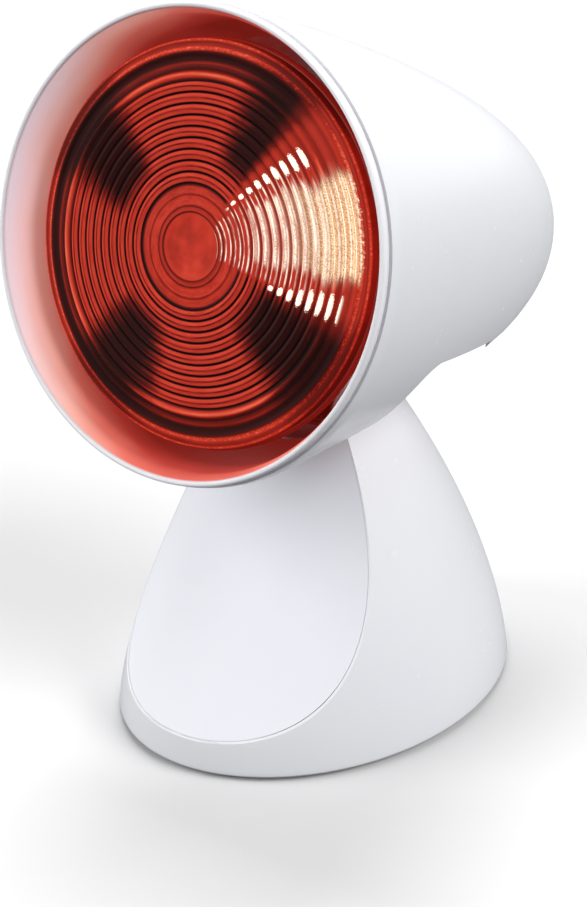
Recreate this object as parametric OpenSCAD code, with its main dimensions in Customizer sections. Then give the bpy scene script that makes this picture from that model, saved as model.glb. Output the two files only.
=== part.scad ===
// Infrared heat lamp on a pedestal: a tilting egg-shaped hood with a ridged red
// reflector bulb, carried on the neck of a weighted base.
// Millimetres, +Z up, the front of the lamp faces -Y.
// The origin is on the table, under the middle of the lamp's overall length.

/* [Hood] */
// Gap round the bulb's rim, out to the inside of the mouth
mouth_gap = 7.5; // [6:0.25:9]
// Width of the lip, from the mouth out to where the hood's long curve starts
lip_w = 3.5; // [3.2:0.1:5]
// Length of the hood's outer curve, from the mouth to the back
hood_len = 184; // [170:1:200]
// Wall of the hood
hood_wall = 2.2; // [1.6:0.1:3]
// Depth of the bead that frames the mouth
bead_depth = 3; // [2:0.25:5]
// Wall of the liner behind the bead
liner_wall = 1.3; // [1:0.1:2]
// How far the liner reaches back from the mouth
liner_len = 46; // [30:1:50]
// Start of the underside cut-out, behind the mouth
slot_start = 52; // [48:1:56]
// Height of the cut-out's roof below the hood's axis
slot_drop = 28; // [26:0.5:34]
// Reach of the cut-out, behind the mouth
slot_end = 155; // [150:1:160]
// Air slots round the back of the hood
vent_count = 12; // [6:1:16]
// Width of one air slot
vent_w = 2.6; // [1.5:0.1:4]

/* [Tilt] */
// Upward tilt of the hood as it is shown
tilt = 12; // [0:1:40]
// Height of the tilt pivot above the table
pivot_z = 112; // [108:1:116]
// Set-back of the tilt pivot from the middle of the base
pivot_y = 6; // [2:0.5:10]
// Distance of the pivot behind the mouth
pivot_back = 86.8; // [84:0.2:90]
// Distance of the pivot below the hood's axis
pivot_drop = 41.1; // [40:0.1:44]
// Radius of the pivot bolt's shank
bolt_r = 3; // [2.5:0.25:4]
// Radius of the neck's rounded top, round the pivot
barrel_r = 13.5; // [11.5:0.25:14]
// Width of the neck's rounded top
barrel_w = 34; // [33:0.5:38]
// Width of the gap in it that the hood's bracket turns in
fork_gap = 16.6; // [15:0.2:17]

/* [Bulb] */
// Radius of the bulb's front rim
bulb_r = 60.5; // [59:0.5:61.5]
// Distance of the bulb's rim behind the mouth
bulb_recess = 10; // [7:0.5:14]
// Rise of the lens from its rim to its middle
lens_rise = 4.6; // [4:0.1:8]
// Thickness of the lens
lens_t = 3; // [2:0.25:4]
// Radius of the lens's plain middle disc
lens_disc_r = 10.3; // [8:0.1:12]
// Radius of the first groove between the lens's ridges
ridge_first_r = 18.4; // [16:0.1:20]
// Width of the band outside the ridges, out to the rim
ridge_margin = 12.15; // [11:0.05:16]
// Number of ridges
ridge_count = 9; // [6:1:10]
// Height of the ridges
ridge_h = 0.8; // [0.3:0.1:1.2]
// Overall length of the bulb, from the middle of the lens to the contact
bulb_len = 130.1; // [126:0.1:132]
// Wall of the bulb's glass bowl
bowl_wall = 2.5; // [2:0.25:3.5]
// Outside radius of the screw cap
cap_r = 13.2; // [13:0.05:13.3]
// Pitch of the screw cap
cap_pitch = 3.6; // [3:0.1:4]

/* [Base] */
// Middle of the base, from the middle of the lamp's overall length
base_y = -13.23; // [-18:0.01:0]
// Width of the base on the table
base_w = 118.6; // [110:1:130]
// Depth of the base on the table
base_d = 156; // [146:1:166]
// Width of the neck where it meets the hood
neck_w = 50; // [46:1:56]
// Depth of the neck there, as if the front face were not cut
neck_d = 77; // [72:1:84]
// Distance below the tilt pivot at which the neck has that width and depth
neck_fall = 12; // [10:0.5:16]
// Lean of the neck towards the front, at that height
neck_lean = 7.4; // [4:0.2:10]
// Wall of the base
base_wall = 2.4; // [2:0.1:3]
// Height of the sloping front face's lower edge
face_z = 12.8; // [10:0.2:18]
// Set-back of that edge from the middle of the base
face_y = 75.3; // [73:0.1:77]
// Thickness of the front panel
panel_t = 2.4; // [2:0.1:3]
// Width of the base's edge that stays visible round the panel
panel_edge = 1.1; // [0.8:0.1:2]
// Gap between the base's edge and the table
floor_gap = 1.2; // [0.8:0.1:2]
// Radius of a rubber foot
foot_r = 7; // [5:0.5:9]
// Spacing of the feet from side to side
foot_x = 68; // [60:1:76]
// Spacing of the feet from front to back
foot_y = 84; // [70:1:96]

/* [Switch and cord inlet] */
// Height of the switch's middle above the table
switch_z = 36; // [34:1:40]
// Length of the switch's frame
switch_l = 21; // [20:0.5:24]
// Width of the switch's frame
switch_w = 15; // [14:0.5:18]
// Travel of the rocker, from off to on
rocker_travel = 20; // [16:1:24]
// Radius of the cord inlet's hole
inlet_r = 3.3; // [3:0.1:4]
// Height of the cord inlet above the table
inlet_z = 13.5; // [13:0.5:15]

/* [Fits] */
// Gap between parts that move past each other
run_gap = 0.3; // [0.2:0.05:0.5]
// Gap between parts that are seated on each other
seat_gap = 0.1; // [0.05:0.05:0.2]
// Radial clearance of the hinge, of the bolt and of the bracket on its sleeve
bush_fit = 0.05; // [0.02:0.01:0.08]

/* [Hidden] */
$fn = 96;
eps = 0.01;
far = 400;

// Sizes that follow from those above
mouth_r = bulb_r + mouth_gap;
hood_r = mouth_r + lip_w;
neck_z = pivot_z - neck_fall;

// Stations along the hood's axis, from the bulb: its bowl, its cap and the plate that carries it
cap_len = 27;
skirt_len = 22.5;
cap_grip = 9.5;
cap_end = bulb_recess - lens_rise + bulb_len;
cap_start = cap_end - cap_len;
bowl_end = cap_start - skirt_len;
plate_s = cap_start + cap_grip;
plate_t = 2;

// Curves of the hood: a superellipse turned about the hood's axis
hood_pow_s = 1.02;
hood_pow_r = 2.92;
hood_steps = 44;
lip_round = 2.3;
lip_reach = 8;
slot_corner = 12;
slot_half = 41.5;

// Curves of the base
flank_pow_w = 1.39;
flank_pow_d = 1.55;
lean_pow = 2;
loft_sides = 64;
foot_edge = 1.2;

// Slope of the front face: run over rise at its lower edge, and the lengths that set how it
// steepens towards the top and falls back to the sides
face_slope = 0.9;
face_bend = 277.8;
face_crown = 107.5;
face_side = 4;
face_under = 5;
face_over = 40;
face_skip = 8;
face_steps_x = 16;
face_steps_z = 14;

// The hood's own frame: +Z runs back along its axis, +Y runs down, z = 0 is the mouth
mouth_y = pivot_y - pivot_back * cos(tilt) + pivot_drop * sin(tilt);
mouth_z = pivot_z + pivot_back * sin(tilt) + pivot_drop * cos(tilt);

function even_steps(from, to, n) = [for (i = [0 : n]) from + (to - from) * i / n];

module in_base() {
    translate([0, base_y, 0]) children();
}

module in_head() {
    in_base() translate([0, mouth_y, mouth_z]) rotate([-90 - tilt, 0, 0]) children();
}

// ---- hood ----

// Outer curve of the hood, moved in by a wall
function hood_point(a, inset) = [
    (hood_r - inset) * pow(max(cos(a), 0), 2 / hood_pow_r),
    (hood_len - inset) * pow(sin(a), 2 / hood_pow_s)
];
function lip_drop(s) = lip_round * pow(max(0, 1 - s / lip_reach), 2);
function hood_curve(inset, from) = [
    for (i = [0 : hood_steps])
        let (p = hood_point(i * 90 / hood_steps, inset))
        if (p[1] >= from) [p[0] - lip_drop(p[1]), p[1]]
];
// Radius of the hood's outside at a distance s behind the mouth
function hood_r_at(s, inset = 0) =
    (hood_r - inset) * pow(1 - pow(s / (hood_len - inset), hood_pow_s), 1 / hood_pow_r) - lip_drop(s);

module hood_solid(inset, from) {
    rotate_extrude() polygon(concat(
        [[0, from], [hood_r_at(from, inset), from]], hood_curve(inset, from + eps)));
}

// The cut-out under the hood, which lets the neck in and the hood tilt
module slot_side() {
    translate([slot_start, slot_drop + slot_corner]) square([far, far]);
    translate([slot_start + slot_corner, slot_drop]) square([far, far]);
    translate([slot_start + slot_corner, slot_drop + slot_corner]) circle(slot_corner);
}

module slot_plan() {
    translate([-far / 2, 0]) square([far, slot_end - slot_half]);
    translate([0, slot_end - slot_half]) circle(slot_half);
}

module hood_slot() {
    intersection() {
        rotate([0, -90, 0]) translate([0, 0, -far / 2]) linear_extrude(far) slot_side();
        translate([0, far / 2, 0]) rotate([90, 0, 0]) linear_extrude(far) slot_plan();
    }
}

// Posts inside the hood that the bracket is screwed to
plate_margin = 4.15;
plate_r = hood_r_at(plate_s + plate_t, hood_wall) - plate_margin;
post_r = 4;
post_x = plate_r - 13;
post_y = 20;
screw_r = 1.5;
screw_len = 10;

module at_posts() {
    for (x = [-post_x, post_x], y = [-post_y, post_y])
        translate([x, y, plate_s + plate_t]) children();
}

module hood_posts() {
    intersection() {
        at_posts() cylinder(r = post_r, h = hood_len);
        hood_solid(hood_wall / 2, plate_s);
    }
}

vent_in = 9;
vent_out = 25;

module vents() {
    for (i = [0 : vent_count - 1])
        rotate([0, 0, i * 360 / vent_count])
            translate([vent_in, -vent_w / 2, plate_s + plate_t + screw_len + 2])
                cube([vent_out - vent_in, vent_w, hood_len]);
}

shell_front = bead_depth + seat_gap * 4;

module hood_shell() {
    color("white") in_head() difference() {
        union() {
            difference() {
                hood_solid(0, shell_front);
                hood_solid(hood_wall, shell_front - 1);
            }
            hood_posts();
        }
        hood_slot();
        vents();
        at_posts() translate([0, 0, -eps]) cylinder(r = screw_r - seat_gap, h = screw_len + eps);
    }
}

// Liner: the bead round the mouth and the white wall that the bulb shines on
bead_step = 1.8;
bead_r = hood_r - bead_step;
liner_gap = 0.5;
function liner_out(s) = hood_r_at(s, hood_wall) - liner_gap;
liner_steps = 8;

module hood_liner() {
    bead_round = (bead_r - mouth_r) / 2;
    depths = even_steps(shell_front, liner_len, liner_steps);
    color("white") in_head() rotate_extrude() {
        translate([mouth_r + bead_round, bead_round]) circle(bead_round, $fn = 32);
        polygon(concat(
            [[mouth_r, bead_round], [bead_r, bead_round], [bead_r, bead_depth]],
            [[liner_out(shell_front), bead_depth]],
            [for (s = depths) [liner_out(s), s]],
            [for (i = [liner_steps : -1 : 0]) [liner_out(depths[i]) - liner_wall, depths[i]]]));
    }
}

// ---- bracket, lampholder and bulb ----

washer_r = 8;
washer_t = 1;
nut_r = 5.8;
nut_t = 3.2;
sleeve_wall = 1.5;
hinge_r = bolt_r + bush_fit + sleeve_wall;
cheek_t = 2;
cheek_r = 9;
cheek_in = fork_gap / 2 - washer_t - run_gap - cheek_t;
tab_low = 31;
tab_high = 22.5;
plate_top = 30;
plate_low = 26;
socket_r = 17;
socket_flange_r = 21;
socket_flange_t = 3.2;
ear_x = 25;
ear_r = 4.5;
screw_head_r = 2.9;
screw_head_h = 1.8;
slot_w = 0.8;

// One cheek of the bracket: an ear round the pivot that runs back and up to the plate
module cheek_outline() {
    rise = atan2(pivot_drop - (tab_low + tab_high) / 2, plate_s - pivot_back);
    edge = [cheek_r * cos(rise), cheek_r * sin(rise)];
    translate([pivot_drop, pivot_back]) circle(cheek_r);
    polygon([
        [pivot_drop + edge[0], pivot_back + edge[1]], [tab_low, plate_s + plate_t],
        [tab_high, plate_s + plate_t], [pivot_drop - edge[0], pivot_back - edge[1]]]);
}

module head_bracket() {
    color("silver") in_head() difference() {
        union() {
            for (x = [cheek_in, -cheek_in - cheek_t])
                translate([x, 0, 0]) rotate([90, 0, 90]) linear_extrude(cheek_t) cheek_outline();
            intersection() {
                translate([0, 0, plate_s]) cylinder(r = plate_r, h = plate_t);
                translate([-plate_r, -plate_top, plate_s])
                    cube([2 * plate_r, plate_top + plate_low, plate_t]);
            }
            translate([-cheek_in - cheek_t, 0, plate_s])
                cube([2 * (cheek_in + cheek_t), tab_low, plate_t]);
        }
        translate([0, 0, plate_s - 1]) cylinder(r = socket_r + run_gap, h = plate_t + 2);
        translate([-far / 2, pivot_drop, pivot_back]) rotate([0, 90, 0])
            cylinder(r = hinge_r + bush_fit, h = far);
        at_posts() translate([0, 0, -plate_t - 1]) cylinder(r = screw_r + seat_gap, h = plate_t + 2);
        at_ears() translate([0, 0, -1]) cylinder(r = screw_r - seat_gap, h = plate_t + 2);
    }
}

// The lampholder's two fixing points on the front of the plate
module at_ears() {
    for (x = [-ear_x, ear_x]) translate([x, 0, plate_s]) children();
}

// A round-headed screw, head below z = 0, shank along +Z
module screw(r, len) {
    translate([0, 0, -screw_head_h]) difference() {
        cylinder(r = screw_head_r, h = screw_head_h);
        translate([-slot_w / 2, -far / 2, -eps]) cube([slot_w, far, 0.7]);
    }
    cylinder(r = r, h = len);
}

module bracket_screws() {
    color("gainsboro") in_head() at_posts() translate([0, 0, -plate_t])
        screw(screw_r - 2 * seat_gap, screw_len);
}

// Lampholder
sleeve_r = cap_r + run_gap + 0.1;
sleeve_t = 0.5;
collar_len = 12;
socket_tail = 11;
sleeve_set = 4;
socket_front = plate_s - collar_len;
contact_t = 0.7;
socket_floor = cap_end + run_gap + contact_t + seat_gap;
socket_back = socket_floor + socket_tail;
collar_t = 1.2;
wire_slot = 6;

module socket_body() {
    bore = sleeve_r + sleeve_t + seat_gap;
    flange_s = plate_s - socket_flange_t;
    color("ivory") in_head() difference() {
        union() {
            translate([0, 0, socket_front])
                cylinder(r = socket_r + collar_t, h = flange_s - socket_front + eps);
            translate([0, 0, flange_s]) {
                cylinder(r = socket_flange_r, h = socket_flange_t);
                translate([-ear_x, -ear_r, 0]) cube([2 * ear_x, 2 * ear_r, socket_flange_t]);
            }
            at_ears() translate([0, 0, -socket_flange_t]) cylinder(r = ear_r, h = socket_flange_t);
            translate([0, 0, plate_s - eps]) cylinder(r = socket_r, h = socket_back - plate_s + eps);
        }
        translate([0, 0, socket_front - 1]) cylinder(r = bore, h = socket_floor - socket_front + 1);
        for (side = [0, 180]) rotate([0, 0, side])
            translate([socket_r - wire_slot + 1, -wire_slot / 2, socket_back - wire_slot + 1])
                cube([2 * wire_slot, wire_slot, wire_slot]);
        at_ears() translate([0, 0, -socket_flange_t - 1])
            cylinder(r = screw_r + seat_gap, h = socket_flange_t + 2);
        cylinder(r = screw_r, h = far);
    }
}

// Threaded sleeve, centre contact and the screws of the lampholder
module socket_sleeve() {
    from = socket_front + sleeve_set;
    color("goldenrod") in_head() difference() {
        translate([0, 0, from]) cylinder(r = sleeve_r + sleeve_t, h = socket_floor - seat_gap - from);
        translate([0, 0, socket_front]) cylinder(r = sleeve_r, h = far);
    }
}

module socket_contact() {
    color("goldenrod") in_head() translate([0, 0, socket_floor - seat_gap - contact_t / 2])
        cube([14, wire_slot, contact_t], center = true);
}

module contact_screw() {
    color("goldenrod") in_head() translate([0, 0, socket_floor - seat_gap])
        cylinder(r = screw_r - seat_gap, h = socket_back - socket_floor);
}

module socket_screws() {
    color("gainsboro") in_head() at_ears() translate([0, 0, -socket_flange_t])
        screw(screw_r - 2 * seat_gap, socket_flange_t + plate_t + 1);
}

// Lens: a dome with ridges, a plain middle disc and a stepped rim
rim_step = 0.7;
lens_r = bulb_r - rim_step;
ridge_last_r = lens_r - ridge_margin;
ridge_pitch = (ridge_last_r - ridge_first_r) / ridge_count;
ridge_points = 8;
inner_steps = 12;
function dome(r) = bulb_recess - lens_rise * (1 - pow(r / lens_r, 2));

module lens_profile() {
    ridges = [for (i = [0 : ridge_count * ridge_points])
        let (r = ridge_first_r + ridge_pitch * i / ridge_points)
        [r, dome(r) - ridge_h * abs(sin(180 * i / ridge_points))]];
    shoulder = ridge_last_r + 1.8;
    brim = lens_r - 3.4;
    seat = bulb_r - bowl_wall - 2 * seat_gap;
    inner = [for (i = [inner_steps : -1 : 0]) let (r = seat * i / inner_steps) [r, dome(r) + lens_t]];
    polygon(concat(
        [[0, dome(lens_disc_r)], [lens_disc_r - 0.6, dome(lens_disc_r)],
         [lens_disc_r, dome(lens_disc_r) - 0.4], [lens_disc_r + 0.5, dome(lens_disc_r)]],
        [for (i = [1 : 5]) let (r = lens_disc_r + (ridge_first_r - lens_disc_r) * i / 6)
            [r, dome(r) - (i % 2) * 0.15]],
        ridges,
        [[shoulder - 0.6, dome(shoulder) - 0.9], [shoulder + 0.6, dome(shoulder) - 0.8],
         [shoulder + 1.6, dome(shoulder + 1.6)], [brim - 1.4, dome(brim)],
         [brim - 0.5, dome(brim) - 0.7], [brim + 0.7, dome(brim) - 0.4], [lens_r, bulb_recess]],
        [[lens_r, bowl_top], [seat, bowl_top]],
        inner));
}

module bulb_lens() {
    color("firebrick") in_head() rotate_extrude() lens_profile();
}

// Glass bowl: a parabola that narrows to the skirt of the cap
bowl_top = bulb_recess + lens_t;
bowl_rim = 6;
bowl_vertex = bowl_end;
function bowl_r(s) = bulb_r * sqrt((bulb_recess + bowl_vertex - s) / (bowl_vertex - bowl_rim));
bowl_steps = 14;

module bowl_profile() {
    from = bulb_recess + bowl_rim;
    outer = [for (i = [0 : bowl_steps])
        let (s = from + (bowl_end - from) * i / bowl_steps) [bowl_r(s), s]];
    inner = [for (i = [bowl_steps : -1 : 0])
        let (s = from + (bowl_end - from - bowl_wall) * i / bowl_steps) [bowl_r(s) - bowl_wall, s]];
    polygon(concat(
        [[bulb_r, bowl_top]], outer,
        [[0, bowl_end], [0, bowl_end - bowl_wall]], inner,
        [[bulb_r - bowl_wall, bowl_top]]));
}

module bulb_bowl() {
    color("indianred") in_head() rotate_extrude() bowl_profile();
}

// Screw cap: a skirt that holds the bowl and a shell with rolled thread
thread_h = 0.45;
thread_set = 1.5;
skirt_lip = 0.6;
skirt_drop = 5;
skirt_hook = 4;
throat = 6;
throat_flare = 1.6;
cap_wall = 0.8;
shell_len = 20;
end_step = 3;

module cap_profile() {
    turns = floor((shell_len - thread_set) / cap_pitch);
    wave = [for (i = [0 : turns * 4])
        [cap_r - thread_h + thread_h * sin(90 * i), cap_start + thread_set + i * cap_pitch / 4]];
    skirt_r = bowl_r(bowl_end) + seat_gap;
    polygon(concat(
        [[skirt_r, bowl_end + seat_gap], [skirt_r + skirt_lip, bowl_end + seat_gap],
         [skirt_r - skirt_lip, bowl_end + skirt_drop], [cap_r + throat_flare, cap_start - throat],
         [cap_r - cap_wall / 2, cap_start]],
        wave,
        [[cap_r - cap_wall, cap_start + shell_len], [cap_r - end_step, cap_start + shell_len + cap_wall],
         [cap_r - end_step, cap_start + shell_len],
         [cap_r - 2 * cap_wall, cap_start + shell_len - cap_wall], [cap_r - 2 * cap_wall, cap_start],
         [cap_r + cap_wall, cap_start - throat], [skirt_r - skirt_lip - cap_wall, bowl_end + skirt_drop],
         [skirt_r - 2 * skirt_lip, bowl_end + cap_wall + seat_gap],
         [skirt_r - skirt_hook, bowl_end + cap_wall + seat_gap],
         [skirt_r - skirt_hook, bowl_end + seat_gap]]));
}

module bulb_cap() {
    color("goldenrod") in_head() rotate_extrude() cap_profile();
}

button_r = 4.6;
button_h = 1.6;

module cap_insulator() {
    from = cap_start + shell_len;
    edge = cap_r - end_step - seat_gap;
    color("dimgray") in_head() rotate_extrude() polygon([
        [0, from], [edge, from], [edge, from + cap_wall * 1.5], [edge - 1, from + end_step],
        [button_r + 0.4, cap_end - button_h], [0, cap_end - button_h]]);
}

module cap_contact() {
    color("silver") in_head() rotate_extrude() polygon([
        [0, cap_end - button_h], [button_r, cap_end - button_h], [button_r * 0.9, cap_end - button_h / 2],
        [button_r / 2, cap_end], [0, cap_end]]);
}

// Filament on its two lead posts, inside the sealed bulb
post_gap = 14;
filament_back = 18;
filament_s = bowl_end - filament_back;

module filament_mount() {
    wire_r = 0.8;
    color("gray") in_head() {
        for (x = [-post_gap / 2, post_gap / 2])
            translate([x, 0, filament_s]) cylinder(r = wire_r, h = bowl_end - bowl_wall - filament_s);
        translate([-post_gap / 2, 0, filament_s]) rotate([0, 90, 0]) cylinder(r = wire_r, h = post_gap);
    }
}

// ---- base ----

// Half width, half depth and middle of the base at a height
function rise(z) = z / neck_z;
function flank_w(z) = base_w / 2 - (base_w - neck_w) / 2 * pow(rise(z), flank_pow_w);
function flank_d(z) = base_d / 2 - (base_d - neck_d) / 2 * pow(rise(z), flank_pow_d);
function flank_y(z) = -neck_lean * pow(rise(z), lean_pow);
function edge_inset(z) = let (h = z - floor_gap)
    h >= foot_edge ? 0 : foot_edge - sqrt(max(0, pow(foot_edge, 2) - pow(foot_edge - h, 2)));
function base_ring(z, inset) = [for (i = [0 : loft_sides - 1])
    let (a = i * 360 / loft_sides)
    [(flank_w(z) - inset) * cos(a), flank_y(z) + (flank_d(z) - inset) * sin(a), z]];

// A closed solid through rings of points
module loft(rings) {
    n = len(rings[0]);
    last = len(rings) - 1;
    points = [for (ring = rings) each ring];
    sides = [for (k = [0 : last - 1], i = [0 : n - 1])
        [k * n + i, (k + 1) * n + i, (k + 1) * n + (i + 1) % n, k * n + (i + 1) % n]];
    polyhedron(points, concat(
        sides,
        [[for (i = [0 : n - 1]) i]],
        [[for (i = [n - 1 : -1 : 0]) last * n + i]]), convexity = 6);
}

module base_solid(inset, from, to, steps, rounded = false) {
    heights = rounded
        ? concat([from, from + foot_edge * 0.3, from + foot_edge], even_steps(from + 6, to, steps))
        : even_steps(from, to, steps);
    loft([for (z = heights) base_ring(z, inset + (rounded ? edge_inset(z) : 0))]);
}

// Everything in front of the sloping front face, moved back by an offset
function front_y(x, z) = let (h = z - face_z)
    -face_y + face_slope * h - h * h / face_bend + x * x / face_crown;

module before_face(back) {
    half = base_w / 2 + face_side;
    low = -face_under;
    high = neck_z + face_over;
    xs = even_steps(-half, half, face_steps_x);
    zs = even_steps(low, high, face_steps_z);
    n = len(xs);
    rings = [for (z = zs) concat(
        [for (x = xs) [x, front_y(x, z) + back, z]],
        [[half, -base_d, z], [-half, -base_d, z]])];
    loft([for (ring = rings) [for (i = [len(ring) - 1 : -1 : 0]) ring[i]]]);
}

// Top of the neck: a barrel round the tilt pivot that rises from two shoulders
shoulder_rise = 3;
shoulder_z = neck_z + shoulder_rise;
brow_y = 21;
brow_z = 2;
brow_run = 3;
heel_y = 20;

module barrel_outline() {
    lead = 150;
    translate([pivot_y, pivot_z]) circle(barrel_r);
    polygon([
        [pivot_y + barrel_r * cos(lead), pivot_z + barrel_r * sin(lead)],
        [pivot_y - brow_y, pivot_z - brow_z], [pivot_y - brow_y - brow_run, shoulder_z],
        [pivot_y - brow_y - brow_run, shoulder_z - 2], [pivot_y + heel_y, shoulder_z - 2],
        [pivot_y + barrel_r, pivot_z], [pivot_y, pivot_z]]);
}

module barrel() {
    rotate([90, 0, 90]) translate([0, 0, -barrel_w / 2]) linear_extrude(barrel_w) barrel_outline();
}

// Gap between the two arms of the barrel, open to the top and to the back
fork_drop = 21;
fork_floor = pivot_z - fork_drop;
fork_front = cheek_r + 1.5;

module fork_space() {
    translate([-fork_gap / 2, pivot_y - fork_front, fork_floor]) cube([fork_gap, base_d, far]);
}

// Recesses in the outer faces of the arms, for the bolt's head, its nut and their caps
recess_r = 6.4;
arm_seat = 3.5;
cap_seat = 0.4;

module on_arms(from) {
    for (side = [0, 180]) translate([0, pivot_y, pivot_z]) rotate([0, side, 0])
        translate([from, 0, 0]) rotate([0, 90, 0]) children();
}

module along_pivot(from) {
    translate([from, pivot_y, pivot_z]) rotate([0, 90, 0]) children();
}

// Screw posts that run up into the flanks
boss_r = 4;
boss_x = 40;
boss_y = 24;
plate_z = floor_gap + 1;
base_plate_t = 2.5;
boss_reach = 50;
base_screw_len = 12;

module at_bosses() {
    for (x = [-boss_x, boss_x], y = [-boss_y, boss_y])
        translate([x, y, plate_z + base_plate_t]) children();
}

// The switch lies in a flat pad on the back of the base, square to the flank
function back_y(z) = flank_y(z) + flank_d(z);
switch_lean = atan2(back_y(switch_z - switch_l / 2) - back_y(switch_z + switch_l / 2), switch_l);
switch_y = back_y(switch_z);
pad_t = 4;
pad_out = 0.8;
pad_margin = 2;
pad_reach = 14;
frame_lip = 1;

module at_switch() {
    translate([0, switch_y, switch_z]) rotate([-90 + switch_lean, 0, 0]) children();
}

module round_slab(w, l, r, h) {
    for (x = [-w / 2 + r, w / 2 - r], y = [-l / 2 + r, l / 2 - r])
        translate([x, y, 0]) cylinder(r = r, h = h, $fn = 48);
    translate([-w / 2 + r, -l / 2, 0]) cube([w - 2 * r, l, h]);
    translate([-w / 2, -l / 2 + r, 0]) cube([w, l - 2 * r, h]);
}

// The cord inlet's grommet sits in a round pad, flat on both sides
inlet_y = back_y(inlet_z);
grommet_r = inlet_r + 2.2;
grommet_lip = 1.4;
grommet_flange = 1.8;
inlet_out = 1.9;
inlet_in = base_wall + 2.8;

module at_inlet() {
    translate([0, inlet_y, inlet_z]) rotate([-90, 0, 0]) children();
}

// Shell of the base and neck, and the panel let into its sloping front
cavity_top = fork_floor - face_skip / 2;
ledge = 3.4;
hole_deep = 20;
inlet_cut = 10;

module pedestal_shell() {
    color("white") in_base() difference() {
        union() {
            difference() {
                base_solid(0, floor_gap, shoulder_z, 9, rounded = true);
                before_face(0);
                difference() {
                    base_solid(base_wall, floor_gap - 1, cavity_top, 6);
                    before_face(panel_t + ledge);
                }
            }
            barrel();
            intersection() {
                at_bosses() cylinder(r = boss_r, h = boss_reach);
                base_solid(base_wall / 2, floor_gap, plate_z + base_plate_t + boss_reach, 4);
            }
            intersection() {
                at_switch() translate([0, 0, -pad_t])
                    round_slab(switch_w + 2 * pad_margin, switch_l + 2 * pad_margin, 3, pad_t + pad_out);
                translate([-far / 2, switch_y - pad_reach, 0]) cube(far);
            }
            at_inlet() translate([0, 0, -inlet_in])
                cylinder(r = grommet_r + grommet_lip + 1, h = inlet_in + inlet_out);
        }
        intersection() {
            base_solid(panel_edge - seat_gap, face_z - face_skip, shoulder_z + 2, 8);
            before_face(panel_t + seat_gap);
        }
        intersection() {
            base_solid(base_wall + ledge, face_z - face_skip / 2, cavity_top, 6);
            before_face(panel_t + ledge + 1);
        }
        fork_space();
        on_arms(fork_gap / 2 + arm_seat) cylinder(r = recess_r, h = far);
        along_pivot(-far / 2) cylinder(r = bolt_r + seat_gap, h = far);
        at_bosses() translate([0, 0, -1]) cylinder(r = screw_r - seat_gap, h = base_screw_len + 1);
        at_switch() translate([-switch_w / 2 + frame_lip, -switch_l / 2 + frame_lip, -hole_deep])
            cube([switch_w - 2 * frame_lip, switch_l - 2 * frame_lip, 2 * hole_deep]);
        at_inlet() translate([0, 0, -inlet_cut]) cylinder(r = grommet_r, h = 2 * inlet_cut);
    }
}

module front_panel() {
    color("white") in_base() intersection() {
        difference() {
            base_solid(panel_edge, face_z - face_skip, shoulder_z, 8);
            before_face(0);
        }
        before_face(panel_t);
    }
}

// Floor of the base, with its feet, screws and weight
module base_outline(inset) {
    polygon([for (p = base_ring(plate_z + base_plate_t, inset)) [p[0], p[1]]]);
}

module at_feet() {
    for (x = [-foot_x / 2, foot_x / 2], y = [-foot_y / 2, foot_y / 2])
        translate([x, y, 0]) children();
}

foot_hole_r = 3;

module base_plate() {
    color("gainsboro") in_base() difference() {
        translate([0, 0, plate_z]) linear_extrude(base_plate_t) base_outline(base_wall + 5 * seat_gap);
        at_feet() translate([0, 0, plate_z - 1]) cylinder(r = foot_hole_r, h = base_plate_t + 2);
        at_bosses() translate([0, 0, -base_plate_t - 1])
            cylinder(r = screw_r + seat_gap, h = base_plate_t + 2);
        at_ballast() translate([0, 0, plate_z - 1])
            cylinder(r = screw_r + seat_gap, h = base_plate_t + 2);
    }
}

// A low-headed screw, for the underside
low_head = 0.9;

module flat_screw(r, len) {
    difference() {
        union() {
            translate([0, 0, -low_head]) cylinder(r = screw_head_r, h = low_head);
            cylinder(r = r, h = len);
        }
        translate([-slot_w / 2, -far / 2, -low_head - eps]) cube([slot_w, far, low_head / 2]);
    }
}

module base_screws() {
    color("gainsboro") in_base() at_bosses() translate([0, 0, -base_plate_t])
        flat_screw(screw_r - 2 * seat_gap, base_screw_len);
}

module rubber_feet() {
    color("dimgray") in_base() at_feet() difference() {
        union() {
            cylinder(r1 = foot_r - 0.6, r2 = foot_r, h = plate_z);
            cylinder(r = foot_hole_r - seat_gap, h = plate_z + base_plate_t);
            translate([0, 0, plate_z + base_plate_t]) cylinder(r1 = foot_hole_r + 0.8, r2 = 2, h = 2);
        }
        translate([0, 0, plate_z]) cylinder(r = 1.2, h = 10);
    }
}

ballast_w = 58;
ballast_l = 70;
ballast_t = 9;
ballast_x = 20;
ballast_y = -8;
ballast_z = plate_z + base_plate_t;

module at_ballast() {
    for (x = [-ballast_x, ballast_x]) translate([x, ballast_y, 0]) children();
}

module ballast_weight() {
    color("darkgray") in_base() difference() {
        translate([0, ballast_y, ballast_z]) round_slab(ballast_w, ballast_l, 6, ballast_t);
        at_ballast() translate([0, 0, ballast_z - 1]) cylinder(r = screw_r, h = ballast_t + 2);
    }
}

module ballast_screws() {
    color("gainsboro") in_base() at_ballast() translate([0, 0, plate_z])
        flat_screw(screw_r - seat_gap, base_plate_t + ballast_t - 1);
}

// ---- tilt hinge ----

// Spacer between the arms, which the bracket turns on
module hinge_sleeve() {
    color("burlywood") in_base() along_pivot(-fork_gap / 2) difference() {
        cylinder(r = hinge_r, h = fork_gap);
        translate([0, 0, -1]) cylinder(r = bolt_r + bush_fit, h = fork_gap + 2);
    }
}

module friction_washers() {
    color("peru") in_base() on_arms(fork_gap / 2 - washer_t) difference() {
        cylinder(r = washer_r, h = washer_t);
        translate([0, 0, -1]) cylinder(r = hinge_r + seat_gap, h = washer_t + 2);
    }
}

bolt_reach = fork_gap / 2 + arm_seat;

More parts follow.
